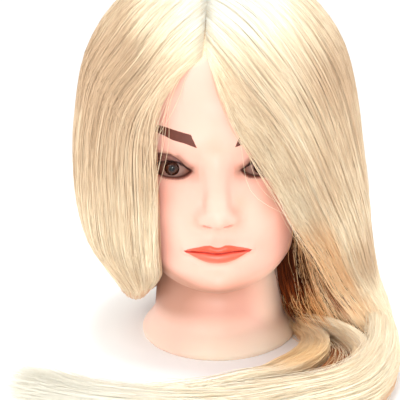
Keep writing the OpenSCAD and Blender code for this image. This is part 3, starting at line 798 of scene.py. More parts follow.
def guide_L(beta):
    k = max(0.0, (118 - beta) / 107.0)
    p = (1 - k) ** 0.9
    if beta <= 118:
        x0, y0 = root_at(p)
        x0 -= 1.1
    else:
        f = (beta - 118) / 62
        x0, y0 = CROWN[0] - 1.1 + 5 * math.sin(math.radians(beta)) * f, CROWN[1] + 5 * f
    dome = comb_dome(x0, y0, beta, k, EDGE_L, 13.0)
    w = float(1 - smooth(0, 1, (beta - 11) / 45.0))
    ze = 190 + (252 - 190) * (1 - (np.arange(12) / 11.0) ** 1.15)
    ae = curve(EDGE_L, ze)
    ae = ae + (beta - 11) * (252 - ze) / 62.0
    re = np.minimum(hair_R(ae, ze), skin_r(ae, ze) + curve(OFF_L, ze))
    front = np.concatenate([polar(ae, ze, re), np.linspace(2.5, 6, 12)[:, None]], 1)
    top = dome * (1 - w) + front * w
    z = np.array([178, 166, 154, 142, 130.0, 118, 106, 94, 82, 70, 58, 48])
    if beta > 118:
        z = z[z > 58 + 8 * (beta - 118) / 62]
    a = np.where(beta < 118, 118 - (118 - curve(EDGE_L, z)) * k, beta)
    r = hair_R(a, z)
    near = np.where(z > 130, np.minimum(r, skin_r(a, z) + curve(OFF_L, z)), curve(REACH_L, z))
    r = r + (near - r) * w
    side = np.concatenate([polar(a, z, r), (8.0 + 3 * smooth(90, 48, z))[:, None]], 1)
    tail = blend_tables(TAIL_L, beta)
    return np.concatenate([top, side, tail, sweep_part(last_value(TAIL_L, beta), 3, 1.0 - 0.66 * (beta - 11) / 169.0)])


def guide_GI(g):
    return np.concatenate([blend_tables(GATHER_I, g), sweep_part(last_value(GATHER_I, g), 2)])


def guide_GO(g):
    return np.concatenate([blend_tables(GATHER_O, g), sweep_part(last_value(GATHER_O, g), 3, 0.28 + 0.5 * g)])


def guide_H(g):
    """Across the hollow between the two locks, a little lower."""
    a, b = blend_tables(GATHER_I, 1.0), blend_tables(GATHER_O, 0.0)
    p = a[9:23] * (1 - g) + b[9:23] * g
    p[:, 2] = np.maximum(p[:, 2] * 0.62, 4.0)
    p[:, 3] = p[:, 2] - 2.0
    return p


def guide_I(g):
    return blend_tables(INNER, g)


class Sheet:
    """A family of guides: outer place P, outward direction N, depth D, at (u, v)."""

    def __init__(self, fn, lo, hi, count, n=200, sigma=13.0):
        self.x = np.linspace(lo, hi, count)
        rows = [dense_path(fn(x), n, sigma) for x in self.x]
        A = np.array([r[0] for r in rows])
        self.L = np.array([r[1] for r in rows])
        for _ in range(2):
            B = A.copy()
            B[1:-1] = 0.25 * A[:-2] + 0.5 * A[1:-1] + 0.25 * A[2:]
            A = B
        self.P, self.D = A[..., :3], np.maximum(A[..., 3], 1.0)
        rho = np.maximum(np.hypot(self.P[..., 0], self.P[..., 1]), 1.0)
        up = smooth(215, 292, self.P[..., 2])
        rad = np.stack([self.P[..., 0] / rho, self.P[..., 1] / rho, np.zeros_like(rho)], -1)
        side = smooth(24, 62, self.P[..., 2])[..., None]
        dome = (self.P - np.array([0, 0, 178.0]))
        dome /= np.maximum(np.linalg.norm(dome, axis=-1, keepdims=True), 1.0)
        rad = rad * (1 - up[..., None]) + dome * up[..., None]
        N = rad * side + np.array([0, 0, 1.0]) * (1 - side)
        T = np.gradient(self.P, axis=1)
        T /= np.linalg.norm(T, axis=-1, keepdims=True)
        N = N - T * (N * T).sum(-1, keepdims=True)
        self.N = N / np.maximum(np.linalg.norm(N, axis=-1, keepdims=True), 1e-6)
        self.T = T
        self.B = np.cross(self.T, self.N)

    def at(self, u, v):
        """u, v in 0..1 (arrays of one shape) -> P, N, B, D, L"""
        g, n = self.P.shape[:2]
        fu = np.clip(u, 0, 1) * (g - 1)
        fv = np.clip(v, 0, 1) * (n - 1)
        i = np.minimum(fu.astype(int), g - 2)
        j = np.minimum(fv.astype(int), n - 2)
        a, b = fu - i, fv - j
        w = [(1 - a) * (1 - b), a * (1 - b), (1 - a) * b, a * b]
        ij = [(i, j), (i + 1, j), (i, j + 1), (i + 1, j + 1)]

        def mix(A):
            if A.ndim == 3:
                return sum(A[p, q] * c[..., None] for (p, q), c in zip(ij, w))
            return sum(A[p, q] * c for (p, q), c in zip(ij, w))
        return mix(self.P), mix(self.N), mix(self.B), mix(self.D)


sheet_R = Sheet(guide_R, 26.5, 180, 40)
sheet_L = Sheet(guide_L, 11, 180, 44, n=260)
sheet_GI = Sheet(guide_GI, 0, 1, 12, n=220, sigma=9.0)
sheet_GO = Sheet(guide_GO, 0, 1, 12, n=220, sigma=10.0)
sheet_H = Sheet(guide_H, 0, 1, 10, n=100, sigma=6.0)
sheet_I = Sheet(guide_I, 0, 1, 10, n=120)


# ---------------------------------------------------------------------------
# strands
# ---------------------------------------------------------------------------
def waves(rng, n, s, lengths, amps):
    """Smooth random wander for n strands at places s (n, m), millimetres."""
    out = np.zeros_like(s)
    for lam, amp in zip(lengths, amps):
        ph = rng.uniform(0, 2 * math.pi, (n, 1))
        f = rng.uniform(0.75, 1.3, (n, 1)) * 2 * math.pi / lam
        out += amp * rng.normal(0, 1, (n, 1)) * np.sin(s * f + ph)
    return out


def keep_clear(P, gap=0.45):
    """Push points out of the head and off the table."""
    x, y, z = P[..., 0], P[..., 1], P[..., 2]
    m = (np.hypot(x, y) < 100) & (z < 292) & (z > -2)
    xs, ys, zs = x[m], y[m], z[m]
    d = base_sdf(xs, ys + relief(xs, zs) * smooth(20, 48, -ys), zs)
    e = (ys < -58) & (np.abs(xs) < 56) & (zs > 112) & (zs < 190)
    if e.any():
        lid = np.sqrt((np.abs(xs[e]) - 30) ** 2 + (ys[e] + 61.5) ** 2 + (zs[e] - 167.5) ** 2) - 24.0
        d[e] = np.minimum(d[e], lid)
    push = np.maximum(gap - d, 0.0)
    v = np.stack([xs, ys, np.where(zs > 215, zs - 178.0, 0.0)], -1)
    v /= np.maximum(np.linalg.norm(v, axis=-1, keepdims=True), 1e-6)
    P[m] += v * push[:, None] * 1.15
    P[..., 2] = np.maximum(P[..., 2], 0.7)
    # the outer hairs draw in softly before they leave the outline
    for axis, limit in ((0, -177.0), (1, -179.0)):
        past = np.minimum(P[..., axis] - limit, 0.0)
        P[..., axis] = np.where(past < 0, limit - 7.0 * (1 - np.exp(past / 7.0)), P[..., axis])
    return P


def tubes(name, P, N, B, radius, attrs, rng, cap=True):
    """Closed three-sided tapering tubes along P (n, m, 3)."""
    n, m = P.shape[:2]
    phi = rng.uniform(0, 2 * math.pi, n)[:, None]
    V = np.empty((n, m, 3, 3))
    for j in range(3):
        th = phi + 2 * math.pi * j / 3
        V[:, :, j] = P + (np.cos(th)[..., None] * B + np.sin(th)[..., None] * N) * radius[..., None]
    base = (np.arange(n) * m * 3)[:, None, None, None]
    k = (np.arange(m - 1) * 3)[None, :, None, None]
    j = np.arange(3)[None, None, :, None]
    j2 = (j + 1) % 3
    q = np.concatenate([base + k + j, base + k + 3 + j, base + k + 3 + j2, base + k + j2], -1)
    quads = q.reshape(-1, 4)
    first = base[:, 0, 0, 0]
    caps = np.stack([first, first + 1, first + 2], 1)
    last = first + (m - 1) * 3
    caps2 = np.stack([last + 2, last + 1, last], 1)
    ob = mesh_object(name, V.reshape(-1, 3), [quads, np.concatenate([caps, caps2])])
    # one row of the bake map for each strand
    h = 1.0 / n
    row = (np.arange(n) * h)[:, None, None]
    side = (np.arange(3) / 3.0 * h * 0.86 + 0.07 * h)[None, None, :]
    sid2 = ((np.arange(3) + 1) / 3.0 * h * 0.86 + 0.07 * h)[None, None, :]
    ua = (np.arange(m - 1) / (m - 1.0) * 0.99 + 0.005)[None, :, None]
    ub = ((np.arange(m - 1) + 1) / (m - 1.0) * 0.99 + 0.005)[None, :, None]
    UV = np.empty((n, m - 1, 3, 4, 2), np.float32)
    UV[..., 0, 0] = ua
    UV[..., 0, 1] = row + side
    UV[..., 1, 0] = ub
    UV[..., 1, 1] = row + side
    UV[..., 2, 0] = ub
    UV[..., 2, 1] = row + sid2
    UV[..., 3, 0] = ua
    UV[..., 3, 1] = row + sid2
    r1 = np.arange(n) * h
    cu = np.empty((2, n, 3, 2), np.float32)
    for e, at in ((0, 0.0), (1, 0.995)):
        cu[e, :, 0] = np.stack([np.full(n, at), r1 + 0.1 * h], 1)
        cu[e, :, 1] = np.stack([np.full(n, at + 0.005), r1 + 0.1 * h], 1)
        cu[e, :, 2] = np.stack([np.full(n, at), r1 + 0.8 * h], 1)
    uv = ob.data.uv_layers.new(name="OFBake")
    uv.data.foreach_set("uv", np.concatenate([UV.ravel(), cu.ravel()]).astype(np.float32))
    for key, val in attrs.items():
        put_attr(ob, key, np.repeat(np.broadcast_to(val, (n, m)).reshape(-1), 3))
    return ob


def grow(sheet, n, seed, seg=13.0, v0=(0, 0.0), v1=(0.9, 1.0), clumps=40, depth=(0.0, 1.0), rad=(0.17, 0.30),
         pinch=0.07, wander=0.42, urange=(0, 1), clump_wander=0.32, fray=0.0, bias=1.7, gap=0.45, lock=0.12,
         skew=1.0, spill=0.0, spread=1.3, locks=0.0, tuck=0.0):
    """Strand centre lines along a sheet: P, N, B, radius, tone, deep, along."""
    rng = np.random.default_rng(seed)
    K = clumps
    uc = (np.arange(K) + rng.uniform(0.1, 0.9, K)) / K
    dc = rng.beta(1.2, 2.2, K) * lock
    tc = rng.normal(0, 1, K)
    c = rng.integers(0, K, n)
    q = rng.uniform(-1, 1, n)
    lo, hi = v0
    va = lo + (hi - lo) * rng.uniform(0, 1, n) ** 4
    vb = v1[0] + (v1[1] - v1[0]) * rng.beta(2.4 if spread > 1 else 1.5, spread + 0.1, n)
    L = float(sheet.L.mean())
    m = int(L * (v1[1] - lo) / seg) + 2
    t = np.linspace(0, 1, m)[None, :]
    v = va[:, None] + (vb - va)[:, None] * t
    s = v * L
    hw = 0.75 / K
    pin = 1 - pinch * smooth(0.03, 0.45, v)
    u = uc[c][:, None] + q[:, None] * hw * pin
    u = urange[0] + (urange[1] - urange[0]) * np.clip(u, 0, 1) ** skew
    P, N, B, D = sheet.at(u, v)
    dd = depth[0] + (depth[1] - depth[0]) * rng.uniform(0, 1, n) ** bias
    d = (dc[c][:, None] * (smooth(0.04, 0.22, v) + locks * smooth(0.5, 0.7, v)) + 0.05 * (q ** 2)[:, None] * smooth(0.02, 0.3, v)) * (1 - dd[:, None]) + dd[:, None]
    crng = np.random.default_rng(seed + 1)
    # the wander of a lock is shared by its strands
    ph = crng.uniform(0, 2 * math.pi, (K, 3))
    am = crng.normal(0, 1, (K, 3))
    lat = sum(am[c, i][:, None] * a * np.sin(s * 2 * math.pi / lam + ph[c, i][:, None])
              for i, (lam, a) in enumerate(((230, 2.2), (120, 1.1), (70, 0.45))))
    rough = np.exp(rng.normal(0, 0.55, n))[:, None]
    grow_in = smooth(0.0, 0.08, v - va[:, None])
    lat = clump_wander * lat + wander * rough * waves(rng, n, s, (210, 110, 55), (1.2, 0.45, 0.12))
    nrm = wander * rough * waves(rng, n, s, (160, 80), (0.40, 0.15))
    if fray:
        f = smooth(0.55, 1.0, t) ** 1.5 * fray
        lat = lat + f * rng.normal(0, 6.0, (n, 1))
        nrm = nrm + f * np.abs(rng.normal(0, 1.5, (n, 1)))
    if spill:
        lat = lat + spill * rng.beta(1.3, 3.0, n)[:, None] * np.sin(np.pi * np.clip((t - 0.05) / rng.uniform(0.6, 0.95, n)[:, None], 0, 1)) ** 2
        nrm = nrm + np.abs(spill) * 0.08 * smooth(0.05, 0.3, t)
    # a tucked lock comes out from under its neighbours
    P = P - np.array([0.0, 1.0, 0.0]) * (tuck * smooth(0.11, 0.0, v))[..., None]
    P = P - N * (d * D)[..., None] + B * (lat * grow_in)[..., None] + N * (nrm * grow_in)[..., None]
    P = keep_clear(P, gap)
    r = rng.uniform(rad[0], rad[1], n)[:, None] * (0.25 + 0.75 * smooth(1.0, 0.86, t)) * (0.55 + 0.45 * smooth(0, 0.04, t))
    tone = np.clip(0.5 + 0.05 * tc[c] + 0.10 * rng.normal(0, 1, n), 0, 1)[:, None] + 0 * t
    tone = tone + 0.10 * tc[c][:, None] * smooth(0.5, 0.7, v)
    return dict(P=P, N=N, B=B, r=r, tone=tone, deep=np.clip(d, 0, 1), along=v + 0 * t, rng=rng, u=u)


def painted_light_fields(P):
    """How pale or dark and how golden the hair is painted at P: a painted highlight on the crown, painted shade on the
    sides of the dome and in a band below the crown, a golden tint painted where the hair lies in shade, and painted
    dark shade in the hollow and under the jaw.
    """
    x, y, z = P[..., 0], P[..., 1], P[..., 2]
    # painted highlight on the crown; painted shade on the sides of the dome, on the sides at mid height, on the +x
    # side, on the -x side of the crown, low on the +x side and in a band below the crown
    tone = (0.46 - 0.26 * smooth(-12, -45, x)) * smooth(244, 280, z) * (0.2 + 0.8 * smooth(70, 46, np.abs(x)) * smooth(70, 10, y)) \
        - (0.22 + 0.12 * smooth(-20, -60, x)) * smooth(52, 78, np.abs(x)) * smooth(190, 225, z) \
        - (0.14 + 0.06 * smooth(40, -40, x)) * smooth(170, 130, z) * smooth(46, 58, z) * smooth(45, 60, np.abs(x)) \
        - 0.14 * smooth(58, 84, x) * smooth(90, 130, z) * smooth(255, 225, z) \
        - 0.28 * np.exp(-((x + 60) / 16) ** 2) * smooth(228, 262, z) \
        - 0.45 * np.exp(-((x - 124) / 20) ** 2 - ((z - 72) / 26) ** 2) \
        - (0.24 + 0.20 * smooth(-20, -60, x)) * smooth(120, 170, z) * smooth(272, 232, z)
    low = smooth(46, 26, z)
    # painted light on the gathered lock beside the base
    tone = tone + 0.42 * np.exp(-((x - 70) / 40) ** 2 - ((y + 60) / 50) ** 2) * smooth(60, 40, z)
    tone = tone + (0.12 + 0.60 * smooth(40, -130, x)) * low * smooth(-60, -80, y)
    # a golden tint painted where the hair lies in shade: on the lock beside the base and under the jaw
    warm_shade = 1.1 * np.exp(-((x - 66) / 36) ** 2 - ((y + 88) / 34) ** 2) * smooth(40, 24, z)
    warm_shade = warm_shade + 0.9 * np.exp(-((x - 68) / 26) ** 2 - ((y + 24) / 28) ** 2) * smooth(60, 30, z)
    # painted shade: dark in the hollow between the two locks and under the jaw
    dark = 0.76 * np.exp(-((x - 98) / 10.0) ** 2 - ((y + 46) / 12.0) ** 2) * smooth(24, 12, z)
    dark = dark + 0.9 * np.exp(-((x - 62) / 22) ** 2 - ((y + 10) / 34) ** 2) * smooth(28, 50, z) * smooth(128, 110, z)
    return tone, np.clip(warm_shade, 0, 1), np.clip(dark, 0, 1)


def strand_pieces(name, G, nodes, limit=196000):
    n, m = G["P"].shape[:2]
    tone, warm_shade, dark = painted_light_fields(G["P"])
    G["tone"] = G["tone"] + tone
    G["warm_shade"] = warm_shade + G.get("warm_shade", 0.0)
    # painted shade by depth in the hair, lighter on the crown, with the painted dark fields and each strand's painted
    # shade added
    crown = smooth(236, 284, G["P"][..., 2])
    G["deep"] = np.clip(np.maximum((0.62 - 0.45 * crown) * G["deep"], dark) + G.get("shade", 0.0), 0, 1)
    per = 6 * (m - 1) + 2
    parts = max(1, math.ceil(n * per / limit))
    obs = []
    for i, idx in enumerate(np.array_split(np.arange(n), parts)):
        nm = name if parts == 1 else "%s_%d" % (name, i + 1)
        ob = tubes(nm, G["P"][idx], G["N"][idx], G["B"][idx], G["r"][idx],
                   {"tone": G["tone"][idx], "deep": G["deep"][idx], "warm_shade": G["warm_shade"][idx], "along": G["along"][idx]}, G["rng"])
        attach(ob, "root")
        if nodes:
            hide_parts(*nodes)
        obs.append(ob)
    return obs


def under_mass(name, sheet, nodes, u0, u1, v0, v1, d0, d1, nu, nv, seed, ridge=0.5, shade=(0.32, 0.65), tuck=0.0):
    """A closed body of hair a little under the strands."""
    rng = np.random.default_rng(seed)
    uu = np.linspace(u0, u1, nu)
    vv = np.linspace(v0, v1, nv)
    U, V = np.meshgrid(uu, vv, indexing="ij")
    P, N, B, D = sheet.at(U, V)
    P = P - np.array([0.0, 1.0, 0.0]) * (tuck * smooth(0.11, 0.0, V))[..., None]
    L = float(sheet.L.mean())
    rid = np.zeros(U.shape)
    for i in range(5):
        k = rng.uniform(25, 110)
        rid += rng.normal(0, 1) * np.sin(k * U * 2 * math.pi * (1 + 0.04 * np.sin(V * 7 + i)) + rng.uniform(0, 6.3) + 3 * np.sin(V * rng.uniform(3, 9)))
    edge = smooth(0, 0.06, (U - u0) / (u1 - u0)) * smooth(1.0, 0.94, (U - u0) / (u1 - u0)) \
        * smooth(0, 0.03, (V - v0) / (v1 - v0)) * smooth(1.0, 0.97, (V - v0) / (v1 - v0))
    outer = P - N * ((d0 * D) + (1 - edge) * 0.35 * (d1 - d0) * D + 0.0)[..., None] + N * (rid * ridge * edge)[..., None] * 0.4
    inner = P - N * (d1 * D)[..., None] + N * ((1 - edge) * 0.35 * (d1 - d0) * D)[..., None]
    outer = keep_clear(outer, 1.0)
    inner = keep_clear(inner, 0.4)
    flat = np.concatenate([outer.reshape(-1, 3), inner.reshape(-1, 3)])
    i, j = np.meshgrid(np.arange(nu - 1), np.arange(nv - 1), indexing="ij")
    a = (i * nv + j).ravel()
    M = nu * nv
    qo = np.stack([a, a + 1, a + nv + 1, a + nv], 1)
    qi = np.stack([a + M, a + nv + M, a + nv + 1 + M, a + 1 + M], 1)
    jj = np.arange(nv - 1)
    ii = np.arange(nu - 1) * nv
    e0 = np.stack([jj, jj + M, jj + 1 + M, jj + 1], 1)
    b = (nu - 1) * nv + jj
    e1 = np.stack([b, b + 1, b + 1 + M, b + M], 1)
    e2 = np.stack([ii, ii + nv, ii + nv + M, ii + M], 1)
    b = ii + nv - 1
    e3 = np.stack([b, b + M, b + nv + M, b + nv], 1)
    Q = np.concatenate([qo, qi, e0, e1, e2, e3])
    ob = mesh_object(name, flat, Q)
    # wind every face outwards
    import bmesh
    bm = bmesh.new()
    bm.from_mesh(ob.data)
    bmesh.ops.recalc_face_normals(bm, faces=bm.faces)
    bm.to_mesh(ob.data)
    bm.free()
    uv = ob.data.uv_layers.new(name="flow")
    li = np.empty(len(ob.data.loops), np.int32)
    ob.data.loops.foreach_get("vertex_index", li)
    k = li % M
    uv.data.foreach_set("uv", np.stack([U.ravel()[k], V.ravel()[k]], 1).astype(np.float32).ravel())
    tone, warm_shade, dark = painted_light_fields(flat)
    # painted shade by depth, lighter on the crown and towards the tips on the table, with the painted dark fields
    base = np.concatenate([np.full(M, shade[0]), np.full(M, shade[1])]) * (1 - 0.9 * smooth(230, 280, flat[:, 2])) \
        * (1 - 0.7 * smooth(0, -90, flat[:, 0]) * smooth(45, 30, flat[:, 2]))
    put_attr(ob, "deep", np.clip(np.maximum(base, dark), 0, 1))
    put_attr(ob, "tone", tone)
    put_attr(ob, "warm_shade", warm_shade)
    put_attr(ob, "along", np.concatenate([V.ravel(), V.ravel()]))
    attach(ob, "root")
    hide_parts(*nodes)
    return ob


RIGHT = ("hair_front_right", "hair_side_right", "hair_back_right")
LEFT = ("hair_fringe_left", "hair_side_left", "hair_back_left", "hair_fall_left")
TABLE = ("hair_nape_gather", "hair_table_sweep", "hair_tips")

under_mass("hair_under_right", sheet_R, RIGHT + ("hair_crown",), 0.05, 1.0, 0.012, 0.84, 0.5, 0.95, 120, 90, 31)
under_mass("hair_under_left", sheet_L, LEFT, 0.07, 1.0, 0.010, 0.76, 0.5, 0.95, 120, 120, 32)
under_mass("hair_under_lock", sheet_GI, TABLE, 0.06, 0.94, 0.02, 0.80, 0.4, 0.95, 36, 90, 33, tuck=15.0)
under_mass("hair_under_band", sheet_GO, TABLE, 0.04, 0.96, 0.02, 0.80, 0.4, 0.95, 36, 90, 34, tuck=15.0)
# the bodies in the hollow and under the jaw are painted dark all through as shade
under_mass("hair_under_hollow", sheet_H, TABLE, 0.0, 1.0, 0.0, 1.0, 0.1, 0.95, 24, 40, 36, shade=(0.9, 1.0))
under_mass("hair_under_jaw", sheet_I, LEFT, 0.0, 0.85, 0.0, 0.9, 0.5, 2.2, 30, 40, 35, shade=(1.0, 1.0))
# the body under the jaw gets no paleness: it stays deep painted shade
bpy.data.objects["hair_under_jaw"].data.attributes["tone"].data.foreach_set("value", np.zeros(len(bpy.data.objects["hair_under_jaw"].data.vertices), np.float32))
strand_pieces("hair_right", grow(sheet_R, 6600, 101, clumps=320, lock=0.045, v0=(0.0, 0.05), v1=(0.86, 1.0), rad=(0.14, 0.26)), RIGHT)
left = grow(sheet_L, 6600, 102, clumps=300, lock=0.045, v0=(0.0, 0.03), v1=(0.74, 1.0), fray=1.4,
            rad=(0.14, 0.26), spread=1.6, locks=3.0)
# the inner edge beside the jaw gets painted brown shade and a painted golden tint
zl = left["P"][..., 2]
edge = smooth(0.16, 0.03, left["u"]) * smooth(128, 98, zl) * smooth(24, 44, zl)
left["shade"] = edge * (0.50 + 0.30 * left["rng"].normal(0, 1, edge.shape[0])[:, None])
left["warm_shade"] = edge * 0.8
strand_pieces("hair_left", left, LEFT)
strand_pieces("hair_lock", grow(sheet_GI, 1000, 103, clumps=26, v0=(0.0, 0.02), v1=(0.74, 1.0), fray=0.6, wander=0.8, locks=1.5, spread=1.6, tuck=15.0), TABLE)
strand_pieces("hair_band", grow(sheet_GO, 1000, 105, clumps=26, v0=(0.0, 0.02), v1=(0.74, 1.0), fray=0.6, wander=0.8, locks=1.5, spread=1.6, tuck=15.0), TABLE)
strand_pieces("hair_hollow", grow(sheet_H, 260, 108, clumps=40, v0=(0.0, 0.3), v1=(0.6, 1.0), wander=2.2, clump_wander=1.0,
                                  rad=(0.12, 0.20)), TABLE)
inner = grow(sheet_I, 760, 104, clumps=60, v0=(0.0, 0.05), v1=(0.7, 1.0), wander=2.6, clump_wander=1.0, rad=(0.12, 0.22), skew=0.75)
# none of them strays over the cheek
q = inner["P"]
stray = ((q[..., 2] > 78) & (q[..., 1] < -50) & (q[..., 0] < 56)).any(1)
inner = {k: (a[~stray] if isinstance(a, np.ndarray) else a) for k, a in inner.items()}
# painted shade under the jaw, darkest at the inner edge, with a painted golden tint
inner["shade"] = 0.78 * smooth(0.9, 0.1, inner["u"]) + 0.18 * inner["rng"].normal(0, 1, inner["u"].shape[0])[:, None]
inner["warm_shade"] = 0.7 * smooth(1.2, 0.3, inner["u"])
strand_pieces("hair_inner", inner, LEFT)
# pale hairs across the shade
pale = grow(sheet_I, 90, 112, clumps=90, v0=(0.0, 0.3), v1=(0.5, 1.0), wander=4.0, clump_wander=1.0, rad=(0.11, 0.16),
            urange=(0, 0.7), depth=(-0.5, 0.0))
q = pale["P"]
stray = ((q[..., 2] > 78) & (q[..., 1] < -50) & (q[..., 0] < 60)).any(1)
pale = {k: (a[~stray] if isinstance(a, np.ndarray) else a) for k, a in pale.items()}
# a painted golden tint, and less painted shade than their neighbours
pale["warm_shade"], pale["shade"] = 0.5, -0.6
strand_pieces("hair_inner_pale", pale, LEFT)
# loose strands over the brow, the eye and the cheek
strand_pieces("hair_loose_right", grow(sheet_R, 14, 106, clumps=14, v0=(0.0, 0.0), v1=(0.26, 0.40), urange=(0, 0.04),
                                       rad=(0.15, 0.20), spill=-24.0, wander=1.0, clump_wander=0.0, depth=(0, 0.3)), RIGHT)
strand_pieces("hair_loose_left", grow(sheet_L, 60, 107, clumps=60, v0=(0.0, 0.0), v1=(0.24, 0.45), urange=(0, 0.06),
                                      rad=(0.13, 0.19), spill=7.0, wander=1.2, clump_wander=0.0, depth=(0, 0.3)), LEFT)
cheek = grow(sheet_L, 200, 109, clumps=200, v0=(0.0, 0.0), v1=(0.36, 0.60), urange=(0, 0.10),
             rad=(0.12, 0.18), spill=10.0, wander=1.6, clump_wander=0.0, depth=(0, 0.3))
# a painted golden tint on the lower strands, where they hang into shade
cheek["warm_shade"] = 0.6 * smooth(130, 90, cheek["P"][..., 2])
strand_pieces("hair_loose_cheek", cheek, LEFT)
# long wisps at the tips
strand_pieces("hair_wisps", grow(sheet_L, 150, 111, clumps=150, v0=(0.62, 0.7), v1=(0.96, 1.0), fray=2.6,
                                 rad=(0.12, 0.18), wander=1.6, clump_wander=0.0, depth=(0, 0.6)), TABLE)


def build_lashes(name, side, node, seed):
    rng = np.random.default_rng(seed)
    n = 120
    u = np.sort(rng.uniform(20.5, 48.3, n))
    root_z = lid_up(u) + rng.uniform(-0.1, 0.5, n)
    y0 = lid_front(u, lid_up(u) + 0.7) + 0.2
    m = 9
    t = np.linspace(0, 1, m)[None, :]
    L = (5.2 + 2.6 * smooth(22, 38, u) + rng.uniform(-0.9, 0.9, n))[:, None]
    out = ((u - 33) / 17)[:, None] * 0.55 + rng.normal(0, 0.07, (n, 1))
    x = u[:, None] + L * out * t ** 1.15
    y = y0[:, None] - L * (0.88 * t - 0.10 * t ** 2)
    z = root_z[:, None] + L * (-0.34 * t + 0.46 * t ** 2.2) + rng.normal(0, 0.05, (n, 1)) * L * t
    P1 = np.stack([side * x, y, z], -1)
    k = 46
    u = np.sort(rng.uniform(24, 47.6, k))
    y0 = lid_front(u, lid_low(u) - 0.6) + 0.1
    L = rng.uniform(1.8, 3.2, k)[:, None]
    x = u[:, None] + L * (((u - 33) / 17)[:, None] * 0.6) * t
    y = y0[:, None] - L * 0.62 * t
    z = (lid_low(u) - 0.1)[:, None] - L * (0.62 * t - 0.12 * t ** 2)
    P2 = np.stack([side * x, y, z], -1)
    P = np.concatenate([P1, P2])
    r = np.concatenate([np.full((n, 1), 0.20), np.full((k, 1), 0.06)]) * (1 - 0.82 * t ** 1.4)
    N = np.broadcast_to(np.array([0, 0.35, 0.94]), P.shape)
    B = np.broadcast_to(np.array([1.0, 0, 0]), P.shape)
    tone = np.broadcast_to(rng.uniform(0, 1, (len(P), 1)), P.shape[:2])
    ob = tubes(name, P, N, B, r, {"tone": tone}, rng)
    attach(ob, "root")
    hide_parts(node)
    return ob


build_lashes("lash_hairs_right", -1, "lashes_right", 51)
build_lashes("lash_hairs_left", 1, "lashes_left", 52)


def build_cornea(name, side, node):
    """A clear dome set into the rim of the iris."""
    c = np.array([side * 33.0, -73.7, 167.5])
    R, rim, rings, seg = 8.2, 5.45, 14, 48
    V = [[c[0], c[1] - R, c[2]]]
    for i in range(1, rings + 1):
        a = math.asin(rim / R) * i / rings
        for j in range(seg):
            b = 2 * math.pi * j / seg
            V.append([c[0] + R * math.sin(a) * math.cos(b), c[1] - R * math.cos(a), c[2] + R * math.sin(a) * math.sin(b)])
    for j in range(seg):
        b = 2 * math.pi * j / seg
        V.append([c[0] + rim * math.cos(b), -78.75, c[2] + rim * math.sin(b)])
    V.append([c[0], -78.75, c[2]])
    ring = lambda i: 1 + (i - 1) * seg
    j = np.arange(seg)
    k = (j + 1) % seg
    quads = [np.stack([ring(i) + j, ring(i + 1) + j, ring(i + 1) + k, ring(i) + k], 1) for i in range(1, rings + 1)]
    tris = np.concatenate([np.stack([0 * j, 1 + j, 1 + k], 1),
                           np.stack([ring(rings + 1) + j, 0 * j + len(V) - 1, ring(rings + 1) + k], 1)])
    ob = mesh_object(name, V, [np.concatenate(quads), tris])
    import bmesh
    bm = bmesh.new()
    bm.from_mesh(ob.data)
    bmesh.ops.recalc_face_normals(bm, faces=bm.faces)
    bm.to_mesh(ob.data)
    bm.free()
    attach(ob, "root")
    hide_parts(node)


build_cornea("cornea_dome_right", -1, "cornea_right")
build_cornea("cornea_dome_left", 1, "cornea_left")


# ---------------------------------------------------------------------------
# materials
# ---------------------------------------------------------------------------
def lin(r, g, b):
    return tuple(((c / 255.0 + 0.055) / 1.055) ** 2.4 if c > 10 else c / 255.0 / 12.92 for c in (r, g, b)) + (1.0,)


